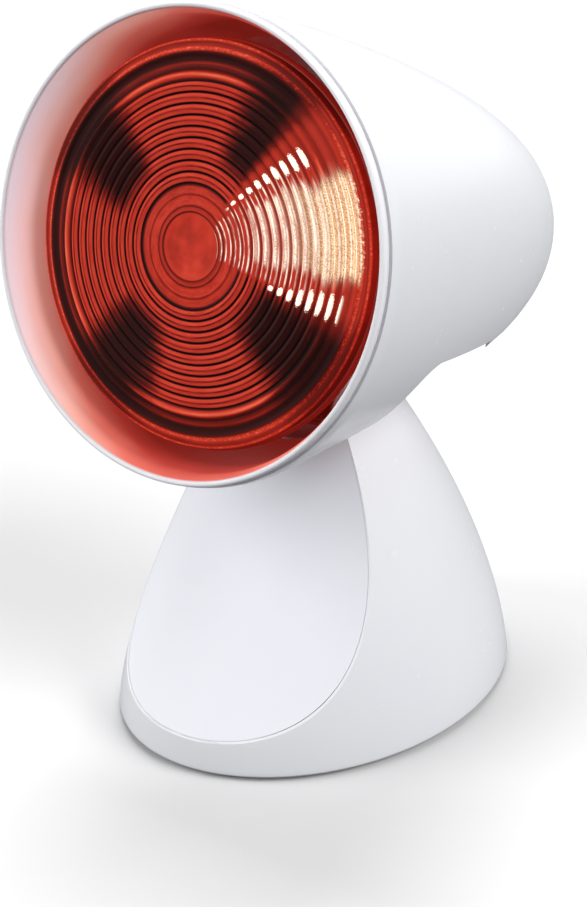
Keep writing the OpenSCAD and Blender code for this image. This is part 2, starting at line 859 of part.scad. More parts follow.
module pivot_bolt() {
    key_r = 2.9;
    color("silver") in_base() along_pivot(-bolt_reach) {
        translate([0, 0, -nut_t]) difference() {
            cylinder(r = nut_r - 2 * seat_gap, h = nut_t);
            translate([0, 0, -eps]) cylinder(r = key_r, h = nut_t / 2, $fn = 6);
        }
        cylinder(r = bolt_r, h = 2 * bolt_reach + nut_t + seat_gap);
    }
}

module pivot_nut() {
    color("silver") in_base() along_pivot(bolt_reach) difference() {
        cylinder(r = nut_r, h = nut_t, $fn = 6);
        translate([0, 0, -1]) cylinder(r = bolt_r + seat_gap, h = nut_t + 2);
    }
}

// Caps that close the recesses, flush with the arms
module pivot_caps() {
    from = bolt_reach + nut_t + cap_seat;
    color("white") in_base() on_arms(from) cylinder(r = recess_r - seat_gap, h = barrel_w / 2 - from);
}

// ---- rocker switch ----

frame_h = 1.6;
body_lip = frame_lip + 2 * seat_gap;
body_deep = 12;
well_deep = 7;
well_end = 0.8;
rocker_w = 9.5;
rocker_l = 15;
rocker_r = 11;
rocker_deep = 3;

module switch_housing() {
    color("dimgray") in_base() at_switch() difference() {
        union() {
            translate([0, 0, pad_out]) round_slab(switch_w, switch_l, 1.5, frame_h);
            translate([-switch_w / 2 + body_lip, -switch_l / 2 + body_lip, -body_deep])
                cube([switch_w - 2 * body_lip, switch_l - 2 * body_lip, body_deep + pad_out + eps]);
        }
        translate([-rocker_w / 2 - run_gap, -rocker_l / 2 - well_end, -well_deep])
            cube([rocker_w + 2 * run_gap, rocker_l + 2 * well_end, 3 * well_deep]);
    }
}

// The rocker turns about X; it is shown switched off, its lower end pressed in
module switch_rocker() {
    color("dimgray") in_base() at_switch() translate([0, 0, -1])
        rotate([-rocker_travel / 2, 0, 0]) translate([-rocker_w / 2, 0, 0])
            rotate([90, 0, 90]) linear_extrude(rocker_w) difference() {
                intersection() {
                    translate([-rocker_l / 2, -4]) square([rocker_l, 9]);
                    circle(rocker_l / 2);
                }
                translate([0, rocker_r + rocker_deep]) circle(rocker_r);
            }
}

blade_w = 4.2;
blade_t = 0.8;
blade_l = 8;
blade_step = 5;

module switch_terminals() {
    color("silver") in_base() at_switch() for (i = [-1 : 1])
        translate([-blade_t / 2, i * blade_step - blade_w / 2, -body_deep - blade_l])
            cube([blade_t, blade_w, blade_l]);
}

// ---- cord inlet ----

module inlet_grommet() {
    color("dimgray") in_base() at_inlet() difference() {
        union() {
            for (z = [-inlet_in - grommet_flange, inlet_out])
                translate([0, 0, z]) cylinder(r = grommet_r + grommet_lip, h = grommet_flange);
            translate([0, 0, -inlet_in - eps])
                cylinder(r = grommet_r - seat_gap, h = inlet_in + inlet_out + 2 * eps);
        }
        translate([0, 0, -far / 2]) cylinder(r = inlet_r, h = far);
    }
}

// Saddle that grips the cord inside the base
clamp_back = 22;
clamp_y = inlet_y - clamp_back;
clamp_x = 11;
clamp_d = 8;
clamp_foot = 3;
clamp_wall = 2;
clamp_axis = inlet_z - ballast_z;

module cord_clamp() {
    saddle = inlet_r + run_gap + clamp_wall;
    color("gainsboro") in_base() translate([0, clamp_y, ballast_z]) difference() {
        union() {
            round_slab(2 * clamp_x + clamp_d, clamp_d, 3, clamp_foot);
            translate([-saddle, -clamp_d / 2, 0]) cube([2 * saddle, clamp_d, clamp_axis + saddle]);
        }
        translate([0, clamp_d, clamp_axis]) rotate([90, 0, 0])
            cylinder(r = inlet_r + run_gap, h = 2 * clamp_d);
        for (x = [-clamp_x, clamp_x]) translate([x, 0, -1]) cylinder(r = screw_r, h = clamp_foot + 2);
    }
}

module clamp_screws() {
    color("gainsboro") in_base() for (x = [-clamp_x, clamp_x])
        translate([x, clamp_y, ballast_z + clamp_foot]) rotate([180, 0, 0])
            screw(screw_r - seat_gap, clamp_foot);
}

// Terminal block on top of the weight
block_l = 30;
block_w = 14;
block_h = 10;
block_z = ballast_z + ballast_t;
block_ways = 3;

block_end = 17;
block_y = ballast_y + ballast_l / 2 - block_end;
way_r = 2.2;
way_deep = 4;

module at_ways() {
    for (i = [0 : block_ways - 1])
        translate([(i - (block_ways - 1) / 2) * block_l / block_ways, block_y, block_z + block_h])
            children();
}

module terminal_block() {
    color("ivory") in_base() difference() {
        translate([0, block_y, block_z]) round_slab(block_l, block_w, 1, block_h);
        at_ways() translate([0, 0, -way_deep]) cylinder(r = way_r, h = way_deep + 1);
        at_ways() translate([0, far / 2, -way_deep - 2]) rotate([90, 0, 0]) cylinder(r = 1.5, h = far);
    }
}

module terminal_screws() {
    color("goldenrod") in_base() at_ways() translate([0, 0, -way_deep])
        cylinder(r = way_r - seat_gap, h = way_deep - 1);
}

hood_shell();
hood_liner();
head_bracket();
bracket_screws();
socket_body();
socket_sleeve();
socket_contact();
contact_screw();
socket_screws();
bulb_lens();
bulb_bowl();
bulb_cap();
cap_insulator();
cap_contact();
filament_mount();
pedestal_shell();
front_panel();
base_plate();
base_screws();
rubber_feet();
ballast_weight();
ballast_screws();
hinge_sleeve();
pivot_bolt();
pivot_nut();
pivot_caps();
friction_washers();
switch_housing();
switch_rocker();
switch_terminals();
inlet_grommet();
cord_clamp();
clamp_screws();
terminal_block();
terminal_screws();
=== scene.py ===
import math

import bmesh
import bpy
from mathutils import Matrix, Vector


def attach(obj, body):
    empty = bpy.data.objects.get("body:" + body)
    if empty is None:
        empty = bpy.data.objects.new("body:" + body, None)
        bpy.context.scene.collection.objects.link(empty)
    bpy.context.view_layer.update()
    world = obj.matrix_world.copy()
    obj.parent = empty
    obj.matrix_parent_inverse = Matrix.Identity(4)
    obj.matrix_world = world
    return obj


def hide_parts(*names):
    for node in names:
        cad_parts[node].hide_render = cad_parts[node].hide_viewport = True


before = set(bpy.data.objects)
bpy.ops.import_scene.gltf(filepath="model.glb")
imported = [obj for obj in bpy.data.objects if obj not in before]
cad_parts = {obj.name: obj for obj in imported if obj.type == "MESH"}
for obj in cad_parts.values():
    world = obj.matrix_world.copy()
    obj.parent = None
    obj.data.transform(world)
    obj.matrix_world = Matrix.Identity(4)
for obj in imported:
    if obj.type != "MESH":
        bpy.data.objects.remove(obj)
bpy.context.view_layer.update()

# ---- sizes, in millimetres as the part's source gives them ----

HOOD_R = 71.5
HOOD_LEN = 184.0
HOOD_TAPER = 1.02
HOOD_FULLNESS = 2.92
HOOD_WALL = 2.2
HOOD_FRONT = 3.4
LIP_TUCK = 2.3
LIP_LEN = 8
MOUTH_R = 68.0
BEAD_R = 69.7
BEAD_DEPTH = 3.0
LINER_WALL = 1.3
LINER_GAP = 0.5
LINER_END = 46.0
SLOT_START = 52.0
SLOT_DROP = 28.0
SLOT_CORNER = 12.0
SLOT_END = 155.0
SLOT_HALF = 41.5
VENTS = 12
VENT_LEN, VENT_W, VENT_CORNER = 16, 2.6, 1.25
VENT_OUT = 17
VENT_DEPTH = 131
POST_R = 4
POST_X, POST_Y = 31, 20
POST_DEPTH = 110.0

BULB_R = 60.5
BULB_WALL = 2.5
BULB_FLAT = 16
BOWL_END = 96
LENS_R = 59.8
LENS_BACK = 13.0
LENS_SEAT_R = 57.6
RECESS = 10.0
LENS_RISE = 4.6
RIDGE_FIRST = 18.4
RIDGE_PITCH = 3.25
RIDGES = 9
RIDGE_HEIGHT = 0.8
RING_PITCH = 3.3

BASE_Y = -13.23
BASE_W = 118.6
BASE_D = 156.0
NECK_W = 50.0
NECK_D = 77.0
NECK_Z = 100.0
NECK_BACK = 7.4
FACE_Z = 12.8
FACE_Y = 75.3
FACE_SLOPE, FACE_SAG, FACE_CROWN = 0.9, 0.0036, 0.0093
SHELL_WALL = 2.4
FRONT_WALL = 6.0
FOOT_Z = 1.2
EDGE_IN = 0.4
PANEL_IN = 0.5
PANEL_THICK = 2.35
PANEL_SEAT = 2.5
PIVOT = (0.0, 6.0, 112.0)
EAR_R = 13.5
EAR_HALF = 17
SHOULDER_Z = 103.0
SHOULDER_R = 2.0
GAP_W = 16.6
GAP_Z = 91
CAP_R = 6.4
BOLT_R = 3.1
SWITCH_Z = 36
SWITCH_HALF = 10.5
SWITCH_W, SWITCH_L = 13, 19
INLET_Z = 13.5
INLET_R = 5.5
FLANK_STEPS = 168
FRONT_STEPS = 12
TILT = math.radians(12)

MM = Matrix.Scale(0.001, 4)
MOUTH = Vector((0, -83.588, 170.249))
BACK = Vector((0, math.cos(TILT), -math.sin(TILT)))
DOWN = Vector((0, -math.sin(TILT), -math.cos(TILT)))

# The hood's own frame: z runs back along its axis, y runs down, x to the lamp's left
HEAD = Matrix((Vector((1, 0, 0)), DOWN, BACK)).transposed().to_4x4()
HEAD.translation = MOUTH
BASE = Matrix.Translation((0, BASE_Y, 0))

# A flat outline (x, y) drawn up z, laid over: as a side view across x, or as a plan up y
ACROSS = Matrix(((0, 0, 1, 0), (1, 0, 0, 0), (0, 1, 0, 0), (0, 0, 0, 1)))
PLAN = Matrix(((1, 0, 0, 0), (0, 0, 1, 0), (0, 1, 0, 0), (0, 0, 0, 1)))


def place_camera():
    data = bpy.data.cameras.new("photo_camera")
    data.sensor_fit = "VERTICAL"
    data.sensor_height = 24
    data.lens = 58.17
    data.clip_start = 0.01
    camera = bpy.data.objects.new("photo_camera", data)
    bpy.context.scene.collection.objects.link(camera)
    right = Vector((0.8120, 0.5837, 0.0)).normalized()
    toward = Vector((0.5349, -0.7441, 0.4002)).normalized()
    up = toward.cross(right).normalized()
    camera.matrix_world = Matrix((right, up, toward)).transposed().to_4x4()
    camera.location = (0.3788, -0.55423, 0.3691)
    bpy.context.scene.camera = camera


place_camera()
bpy.context.scene.view_settings.view_transform = "Standard"


# ---- mesh helpers ----

def linked(bm, name, sharp):
    """An object of a mesh in metres, smooth but for the edges sharper than an angle."""
    mesh = bpy.data.meshes.new(name)
    bm.to_mesh(mesh)
    bm.free()
    mesh.shade_smooth()
    mesh.set_sharp_from_angle(angle=math.radians(sharp))
    piece = bpy.data.objects.new(name, mesh)
    bpy.context.scene.collection.objects.link(piece)
    return piece


def finished(bm, name, place, sharp=35):
    """Puts a millimetre mesh in its place in the lamp."""
    bm.transform(MM @ place)
    return linked(bm, name, sharp)


def turned(profile, steps, closed=False):
    """A profile of (radius, depth) points spun about z."""
    bm = bmesh.new()
    points = [bm.verts.new((max(r, 0.0), 0, s)) for r, s in profile]
    edges = [bm.edges.new(pair) for pair in zip(points, points[1:])]
    if closed:
        edges.append(bm.edges.new((points[-1], points[0])))
    bmesh.ops.spin(bm, geom=points + edges, cent=(0, 0, 0), axis=(0, 0, 1), dvec=(0, 0, 0),
                   angle=2 * math.pi, steps=steps, use_merge=True)
    bmesh.ops.remove_doubles(bm, verts=bm.verts, dist=1e-4)
    bmesh.ops.dissolve_degenerate(bm, edges=bm.edges, dist=1e-5)
    bmesh.ops.recalc_face_normals(bm, faces=bm.faces)
    return bm


def prism(outline, low, high):
    """A flat outline of (x, y) points, drawn up from z = low to z = high."""
    bm = bmesh.new()
    face = bm.faces.new([bm.verts.new((x, y, low)) for x, y in outline])
    out = bmesh.ops.extrude_face_region(bm, geom=[face])
    rim = [g for g in out["geom"] if isinstance(g, bmesh.types.BMVert)]
    bmesh.ops.translate(bm, verts=rim, vec=(0, 0, high - low))
    bmesh.ops.recalc_face_normals(bm, faces=bm.faces)
    return bm


def rod(r, low, high, sides=64):
    bm = bmesh.new()
    bmesh.ops.create_cone(bm, cap_ends=True, segments=sides, radius1=r, radius2=r,
                          depth=high - low, matrix=Matrix.Translation((0, 0, (low + high) / 2)))
    return bm


def arc(cx, cy, r, start, end, steps):
    """Points on a circle, from one angle to another in degrees."""
    turn = [math.radians(start + (end - start) * i / steps) for i in range(steps + 1)]
    return [(cx + r * math.cos(a), cy + r * math.sin(a)) for a in turn]


def rounded_box(w, l, r, low, high, steps=8):
    x, y = w / 2 - r, l / 2 - r
    outline = (arc(x, y, r, 0, 90, steps) + arc(-x, y, r, 90, 180, steps)
               + arc(-x, -y, r, 180, 270, steps) + arc(x, -y, r, 270, 360, steps))
    return prism(outline, low, high)


def joined(parts):
    """One mesh out of several (mesh, place) pairs."""
    whole = bmesh.new()
    for bm, place in parts:
        bm.transform(place)
        copy = bpy.data.meshes.new("joining")
        bm.to_mesh(copy)
        bm.free()
        whole.from_mesh(copy)
        bpy.data.meshes.remove(copy)
    return whole


def shaped(bm, *cuts):
    """The mesh after boolean steps: (operation, mesh) pairs."""
    def holder(source, name):
        mesh = bpy.data.meshes.new(name)
        source.to_mesh(mesh)
        source.free()
        obj = bpy.data.objects.new(name, mesh)
        bpy.context.scene.collection.objects.link(obj)
        return obj

    body = holder(bm, "cutting")
    for operation, tool_mesh in cuts:
        tool = holder(tool_mesh, "tool")
        step = body.modifiers.new("step", "BOOLEAN")
        step.operation = operation
        step.solver = "EXACT"
        step.object = tool
        bpy.context.view_layer.update()
        graph = bpy.context.evaluated_depsgraph_get()
        result = bpy.data.meshes.new_from_object(body.evaluated_get(graph))
        body.modifiers.clear()
        old = body.data
        body.data = result
        bpy.data.meshes.remove(old)
        spent = tool.data
        bpy.data.objects.remove(tool)
        bpy.data.meshes.remove(spent)
    out = bmesh.new()
    out.from_mesh(body.data)
    spent = body.data
    bpy.data.objects.remove(body)
    bpy.data.meshes.remove(spent)
    return out


# ---- hood ----

def lip_tuck(s):
    """How far the hood draws in again towards its lip."""
    return LIP_TUCK * max(0.0, 1 - s / LIP_LEN) ** 2


def hood_radius(s, inset=0.0):
    body = (HOOD_R - inset) * (1 - (s / (HOOD_LEN - inset)) ** HOOD_TAPER) ** (1 / HOOD_FULLNESS)
    return body - lip_tuck(s)


def hood_curve(inset, start, steps):
    """The egg's side from a depth to its back: even steps in angle, closer at the back."""
    length = HOOD_LEN - inset
    first = math.asin((start / length) ** (HOOD_TAPER / 2))
    out = []
    for i in range(steps + 1):
        t = i / steps
        a = first + (math.pi / 2 - first) * (1 - (1 - t) ** 1.35)
        s = length * math.sin(a) ** (2 / HOOD_TAPER)
        r = (HOOD_R - inset) * max(math.cos(a), 0.0) ** (2 / HOOD_FULLNESS)
        out.append((r - lip_tuck(s) if i < steps else 0.0, s))
    return out


def hood_notch():
    """The cut-out for the neck: where its outline from the side and its plan cross."""
    far, deep, front = 230, 140, 20
    side = arc(SLOT_DROP + SLOT_CORNER, SLOT_START + SLOT_CORNER, SLOT_CORNER, 270, 180, 14)
    side += [(SLOT_DROP, far), (deep, far), (deep, SLOT_START)]
    notch = prism(side, -100, 100)
    notch.transform(ACROSS)
    middle = SLOT_END - SLOT_HALF
    plan = [(-100, front), (100, front), (100, middle)] + arc(0, middle, SLOT_HALF, 0, 180, 48)
    plan += [(-100, middle)]
    sweep = prism(plan, 0, 150)
    sweep.transform(PLAN)
    bmesh.ops.recalc_face_normals(sweep, faces=sweep.faces)
    bmesh.ops.recalc_face_normals(notch, faces=notch.faces)
    return shaped(notch, ("INTERSECT", sweep))


def hood_piece():
    """The egg's shell with its screw posts, the cut-out and the vents at the back."""
    outside = hood_curve(0, HOOD_FRONT, 110)
    inside = hood_curve(HOOD_WALL, HOOD_FRONT, 70)
    shell = turned(outside + inside[::-1], 208, closed=True)
    vents = [(rounded_box(VENT_LEN, VENT_W, VENT_CORNER, VENT_DEPTH, 200, 5),
              Matrix.Rotation(math.radians(i * 360 / VENTS), 4, "Z") @ Matrix.Translation((VENT_OUT, 0, 0)))
             for i in range(VENTS)]
    posts = joined([(rod(POST_R, 120, 180, 40), Matrix.Translation((x, y, 0)))
                    for x in (-POST_X, POST_X) for y in (-POST_Y, POST_Y)])
    core = [(0.0, POST_DEPTH)] + hood_curve(HOOD_WALL / 2, POST_DEPTH, 40)
    posts = shaped(posts, ("INTERSECT", turned(core, 120)))
    shell = shaped(shell, ("UNION", posts), ("DIFFERENCE", hood_notch()), ("DIFFERENCE", joined(vents)))
    return finished(shell, "hood", HEAD, 40)


def liner_piece():
    """The bead round the mouth and the wall behind it."""
    def wall(s):
        return hood_radius(s, HOOD_WALL) - LINER_GAP

    ring = (BEAD_R - MOUTH_R) / 2
    out = arc(MOUTH_R + ring, ring, ring, 180, 360, 14)
    depths = [HOOD_FRONT + (LINER_END - HOOD_FRONT) * i / 24 for i in range(25)]
    out += [(BEAD_R, BEAD_DEPTH - 0.3), (BEAD_R - 0.3, BEAD_DEPTH), (wall(HOOD_FRONT), BEAD_DEPTH)]
    out += [(wall(s), s) for s in depths]
    out += [(wall(s) - LINER_WALL, s) for s in depths[:1:-1]]
    out += [(66.44, 5.6), (66.62, 4.4), (66.95, 3.3), (67.35, 2.35), (67.7, 1.6)]
    return finished(turned(out, 224, closed=True), "liner", HEAD, 60)


# ---- bulb ----

def dome(r):
    """The lens's smooth face without its ridges."""
    return RECESS - LENS_RISE * (1 - (r / LENS_R) ** 2)


def lens_piece():
    """Pressed lens: plain disc, faint rings, nine ridges, a shoulder ring and a stepped rim."""
    flat = dome(10.3)
    face = [(0.0, flat), (5.0, flat), (9.6, flat), (9.9, flat - 0.12)]
    face += [(10.2, flat - 0.36), (10.45, flat - 0.36), (10.75, flat - 0.05)]
    for i in range(1, 30):
        r = 10.9 + (RIDGE_FIRST - 11.0) * i / 30
        swell = 0.5 + 0.5 * math.cos(math.tau * (r - 11.8) / RING_PITCH)
        face.append((r, dome(r) - 0.12 * swell ** 3))
    for i in range(RIDGES * 12 + 1):
        r = RIDGE_FIRST + RIDGE_PITCH * i / 12
        crest = abs(math.sin(math.pi * i / 12)) ** 0.85
        minor = 0.05 * (1 - math.cos(math.tau * i / 6))
        face.append((r, dome(r) - RIDGE_HEIGHT * crest + minor * (crest > 0.4)))
    edge = RIDGE_FIRST + RIDGE_PITCH * RIDGES
    for x, lift in ((0.4, 0.15), (0.8, 0.4), (1.3, 0.8), (1.8, 0.95), (2.3, 0.75), (2.8, 0.3), (3.2, 0.0)):
        face.append((edge + x, dome(edge + x) - lift))
    for r, lift in ((51.6, 0.15), (52.4, 0.25), (53.2, 0.05), (54.7, 0.0)):
        face.append((r, dome(r) - lift))
    for x, lift in ((0.2, 0.3), (0.6, 0.62), (1.1, 0.7), (1.6, 0.5), (2.0, 0.16), (2.4, 0.12)):
        face.append((54.9 + x, dome(54.9 + x) - lift))
    for r, lift in ((58.1, 0.3), (59.0, 0.2), (59.5, -0.05)):
        face.append((r, dome(r) - lift))
    face += [(LENS_R, RECESS + 0.3), (LENS_R, LENS_BACK), (LENS_SEAT_R, LENS_BACK)]
    inner = [LENS_SEAT_R * i / 16 for i in range(17)]
    face += [(r, dome(r) + 3.0) for r in inner[::-1]]
    return finished(turned(face, 288), "lens", HEAD, 80)


def bowl_piece():
    """The mirrored bowl behind the lens: a parabola with a wall."""
    def bowl(s):
        return BULB_R * math.sqrt((BOWL_END - s) / (BOWL_END - BULB_FLAT))

    inside = [BULB_FLAT + 67.5 * i / 36 for i in range(37)]
    outside = [BULB_FLAT + 70 * i / 36 for i in range(37)]
    out = [(0, inside[-1])] + [(bowl(s) - BULB_WALL, s) for s in inside[::-1]]
    out += [(57.9, LENS_BACK), (BULB_R - 0.4, LENS_BACK), (BULB_R, LENS_BACK + 0.4), (BULB_R, 14.6)]
    out += [(bowl(s), s) for s in outside] + [(0, outside[-1])]
    return finished(turned(out, 160), "bowl", HEAD, 50)


# ---- base ----

def flank_w(z):
    return BASE_W / 2 - (BASE_W - NECK_W) / 2 * (z / NECK_Z) ** 1.39


def flank_d(z):
    return BASE_D / 2 - (BASE_D - NECK_D) / 2 * (z / NECK_Z) ** 1.55


def flank_y(z):
    return -NECK_BACK * (z / NECK_Z) ** 2


def front_y(x, z):
    h = z - FACE_Z
    return -FACE_Y + FACE_SLOPE * h - FACE_SAG * h * h + FACE_CROWN * x * x


def crease_x(z, inset, back=0):
    """Half width of the sloping front, set back, where it meets the flank, moved in."""
    w, d = flank_w(z) - inset, flank_d(z) - inset
    if front_y(0, z) + back <= flank_y(z) - d:
        return 0.0
    low, high = 0.0, w
    for _ in range(40):
        x = (low + high) / 2
        if front_y(x, z) + back > flank_y(z) - d * math.sqrt(max(0.0, 1 - (x / w) ** 2)):
            low = x
        else:
            high = x
    return low


def crease_foot(inset):
    """The height where the sloping front begins."""
    low, high = 2.0, 30.0
    for _ in range(50):
        z = (low + high) / 2
        if crease_x(z, inset) > 0:
            high = z
        else:
            low = z
    return high


def back_y(z):
    return flank_y(z) + flank_d(z)


def base_ring(z, inset, back):
    """One ring round the base: the flank from crease to crease by way of the rear, then the
    edge strip, the seat of the panel and the other edge strip."""
    w, d = flank_w(z) - inset, flank_d(z) - inset
    xc = crease_x(z, inset, back)
    start = -math.pi / 2 + math.asin(min(1.0, xc / w))
    ring = []
    for i in range(FLANK_STEPS + 1):
        a = start + (math.pi - 2 * start) * i / FLANK_STEPS
        ring.append((w * math.cos(a), flank_y(z) + d * math.sin(a), z))
    if xc == 0.0:
        return ring + [ring[0]] * (FRONT_STEPS + 3)
    xe = xc * 0.98 if back else min(crease_x(z, EDGE_IN), xc)
    deep = PANEL_SEAT if back == 0 and xe > 0 else 0.0
    ring.append((-xe, front_y(xe, z) + back, z))
    for i in range(FRONT_STEPS + 1):
        x = -xe + 2 * xe * i / FRONT_STEPS
        ring.append((x, front_y(x, z) + back + deep, z))
    ring.append((xe, front_y(xe, z) + back, z))
    return ring


def base_levels():
    """(height, inset, set-back of the front) of the rings: the inner wall from its top down,
    then the outside from the bottom up."""
    foot = crease_foot(0)
    edge = crease_foot(EDGE_IN)
    r = FOOT_Z
    outer = [(r + r * (1 - math.cos(math.radians(a))), r * (1 - math.sin(math.radians(a))), 0)
             for a in (0, 15, 30, 45, 60, 75, 90)]
    outer += [(2 * r + (foot - 2 * r) * i / 8, 0, 0) for i in range(1, 9)]
    outer += [(foot + (edge - foot) * i / 8, 0, 0) for i in range(1, 9)]
    top = SHOULDER_Z - SHOULDER_R
    outer += [(edge + (top - edge) * (i / 72) ** 1.7, 0, 0) for i in range(1, 73)]
    inner = [(r, SHELL_WALL, 0)] + [(2 + 85 * (i / 26) ** 1.2, SHELL_WALL, FRONT_WALL) for i in range(27)]
    return inner[::-1] + outer


def base_shell():
    """The pedestal's shell, with the rounded shoulder as its last rings. One spin makes the
    faces, and then each point takes its place on its ring."""
    rings = [base_ring(*level) for level in base_levels()]
    for lift, inset in ((0.6, 0.18), (1.1, 0.45), (1.55, 0.9), (1.85, 1.4), (2.0, 2.0)):
        ring = base_ring(SHOULDER_Z - SHOULDER_R, 0, 0)
        cy = flank_y(SHOULDER_Z)
        shrink = 1 - inset / 23.0
        rings.append([(x * shrink, cy + (y - cy) * shrink, z + lift) for x, y, z in ring])
    sides = len(rings[0])
    bm = bmesh.new()
    line = [bm.verts.new((1, 0, k)) for k in range(len(rings))]
    edges = [bm.edges.new(pair) for pair in zip(line, line[1:])]
    bmesh.ops.spin(bm, geom=line + edges, cent=(0, 0, 0), axis=(0, 0, 1), dvec=(0, 0, 0),
                   angle=2 * math.pi, steps=sides, use_merge=True)
    for v in bm.verts:
        k = round(v.co.z)
        i = round(math.atan2(v.co.y, v.co.x) / math.tau * sides) % sides
        v.co = rings[k][i]
    open_edges = [e for e in bm.edges if e.is_boundary]
    bmesh.ops.holes_fill(bm, edges=open_edges, sides=0)
    bmesh.ops.remove_doubles(bm, verts=bm.verts, dist=0.002)
    bmesh.ops.dissolve_degenerate(bm, edges=bm.edges, dist=0.001)
    bmesh.ops.recalc_face_normals(bm, faces=bm.faces)
    return bm


def neck_top():
    """The rounded top of the neck round the pivot, rising from its shoulders."""
    y, z = PIVOT[1], PIVOT[2]
    root = SHOULDER_Z - 3
    outline = arc(y, z, EAR_R, 0, 150, 40)
    outline += [(y - 21, z - 2), (y - 24, SHOULDER_Z), (y - 24, root), (y + EAR_R, root)]
    bm = prism(outline, -EAR_HALF, EAR_HALF)
    along = [e for e in bm.edges if abs(e.verts[0].co.z - e.verts[1].co.z) < 1e-4]
    bmesh.ops.bevel(bm, geom=along, offset=1.0, segments=3, profile=0.5, affect="EDGES", material=-1)
    bm.transform(ACROSS)
    bmesh.ops.recalc_face_normals(bm, faces=bm.faces)
    return bm


def on_pivot(side, bm):
    """A mesh with its place on the pivot's axis, on the side of +x or -x."""
    turn = Matrix.Rotation(math.radians(90 * side), 4, "Y")
    return bm, Matrix.Translation(PIVOT) @ turn


SWITCH_LEAN = math.atan2(back_y(SWITCH_Z - SWITCH_HALF) - back_y(SWITCH_Z + SWITCH_HALF),
                         2 * SWITCH_HALF)
SWITCH = (Matrix.Translation((0, back_y(SWITCH_Z), SWITCH_Z))
          @ Matrix.Rotation(-math.pi / 2 + SWITCH_LEAN, 4, "X"))
INLET = Matrix.Translation((0, back_y(INLET_Z), INLET_Z)) @ Matrix.Rotation(-math.pi / 2, 4, "X")


def pedestal_piece():
    """The shell with its neck, the gap that the bracket turns in, and the pads, holes and bore."""
    shell = base_shell()
    gap = bmesh.new()
    bmesh.ops.create_cube(gap, size=1)
    gap_place = Matrix.Translation((0, PIVOT[1] - 10.5 + 50, GAP_Z + 25))
    gap.transform(gap_place @ Matrix.Diagonal((GAP_W, 100, 50, 1)))
    pads = joined([(rounded_box(SWITCH_W + 6, SWITCH_L + 6, 3, -3.6, 0.8), SWITCH),
                   (rod(INLET_R + 2.4, -4.6, 1.9, 72), INLET)])
    holes = joined([(rounded_box(SWITCH_W, SWITCH_L, 0.8, -12, 10, 4), SWITCH),
                    (rod(INLET_R, -9, 10, 72), INLET),
                    on_pivot(1, rod(CAP_R, 11.8, 40, 72)), on_pivot(-1, rod(CAP_R, 11.8, 40, 72))])
    bore = joined([on_pivot(1, rod(BOLT_R, -30, 30, 48))])
    shell = shaped(shell, ("UNION", neck_top()), ("UNION", pads), ("DIFFERENCE", gap),
                   ("DIFFERENCE", holes), ("DIFFERENCE", bore))
    return finished(shell, "pedestal", BASE, 15)


def panel_piece():
    """The panel let into the sloping front: a curved skin and its thickness."""
    across, up = 48, 84
    foot = crease_foot(PANEL_IN)
    top = SHOULDER_Z - 1.2
    bm = bmesh.new()
    bmesh.ops.create_grid(bm, x_segments=across, y_segments=up, size=1)
    for v in bm.verts:
        u, t = v.co.x, (v.co.y + 1) / 2
        z = foot + (top - foot) * t ** 1.7
        x = u * crease_x(z, PANEL_IN)
        v.co = (x, front_y(x, z), z)
    bmesh.ops.remove_doubles(bm, verts=bm.verts, dist=0.002)
    bmesh.ops.dissolve_degenerate(bm, edges=bm.edges, dist=0.001)
    bmesh.ops.recalc_face_normals(bm, faces=bm.faces)
    if sum(f.normal.y * f.calc_area() for f in bm.faces) > 0:
        bmesh.ops.reverse_faces(bm, faces=bm.faces)
    skin = list(bm.faces)
    out = bmesh.ops.extrude_face_region(bm, geom=skin, use_keep_orig=True)
    behind = [g for g in out["geom"] if isinstance(g, bmesh.types.BMVert)]
    bmesh.ops.translate(bm, verts=behind, vec=(0, PANEL_THICK, 0))
    bmesh.ops.recalc_face_normals(bm, faces=bm.faces)
    return finished(bm, "panel", BASE, 32)


# ---- small parts whose edges are eased ----

def eased(node, width, body, sharp=32):
    """A copy of a CAD node with its hard edges softened, standing in for it."""
    bm = bmesh.new()
    bm.from_mesh(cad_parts[node].data)
    bmesh.ops.remove_doubles(bm, verts=bm.verts, dist=2e-6)
    bmesh.ops.dissolve_limit(bm, angle_limit=math.radians(1.0), verts=bm.verts, edges=bm.edges)
    hard = [e for e in bm.edges if len(e.link_faces) == 2 and e.calc_face_angle(0) > math.radians(sharp)]
    bmesh.ops.bevel(bm, geom=hard, offset=width * 0.001, segments=2, profile=0.5,
                    affect="EDGES", material=-1, clamp_overlap=True)
    piece = linked(bm, node + "_eased", 40)
    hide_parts(node)
    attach(piece, body)
    return piece


# ---- shader helpers ----

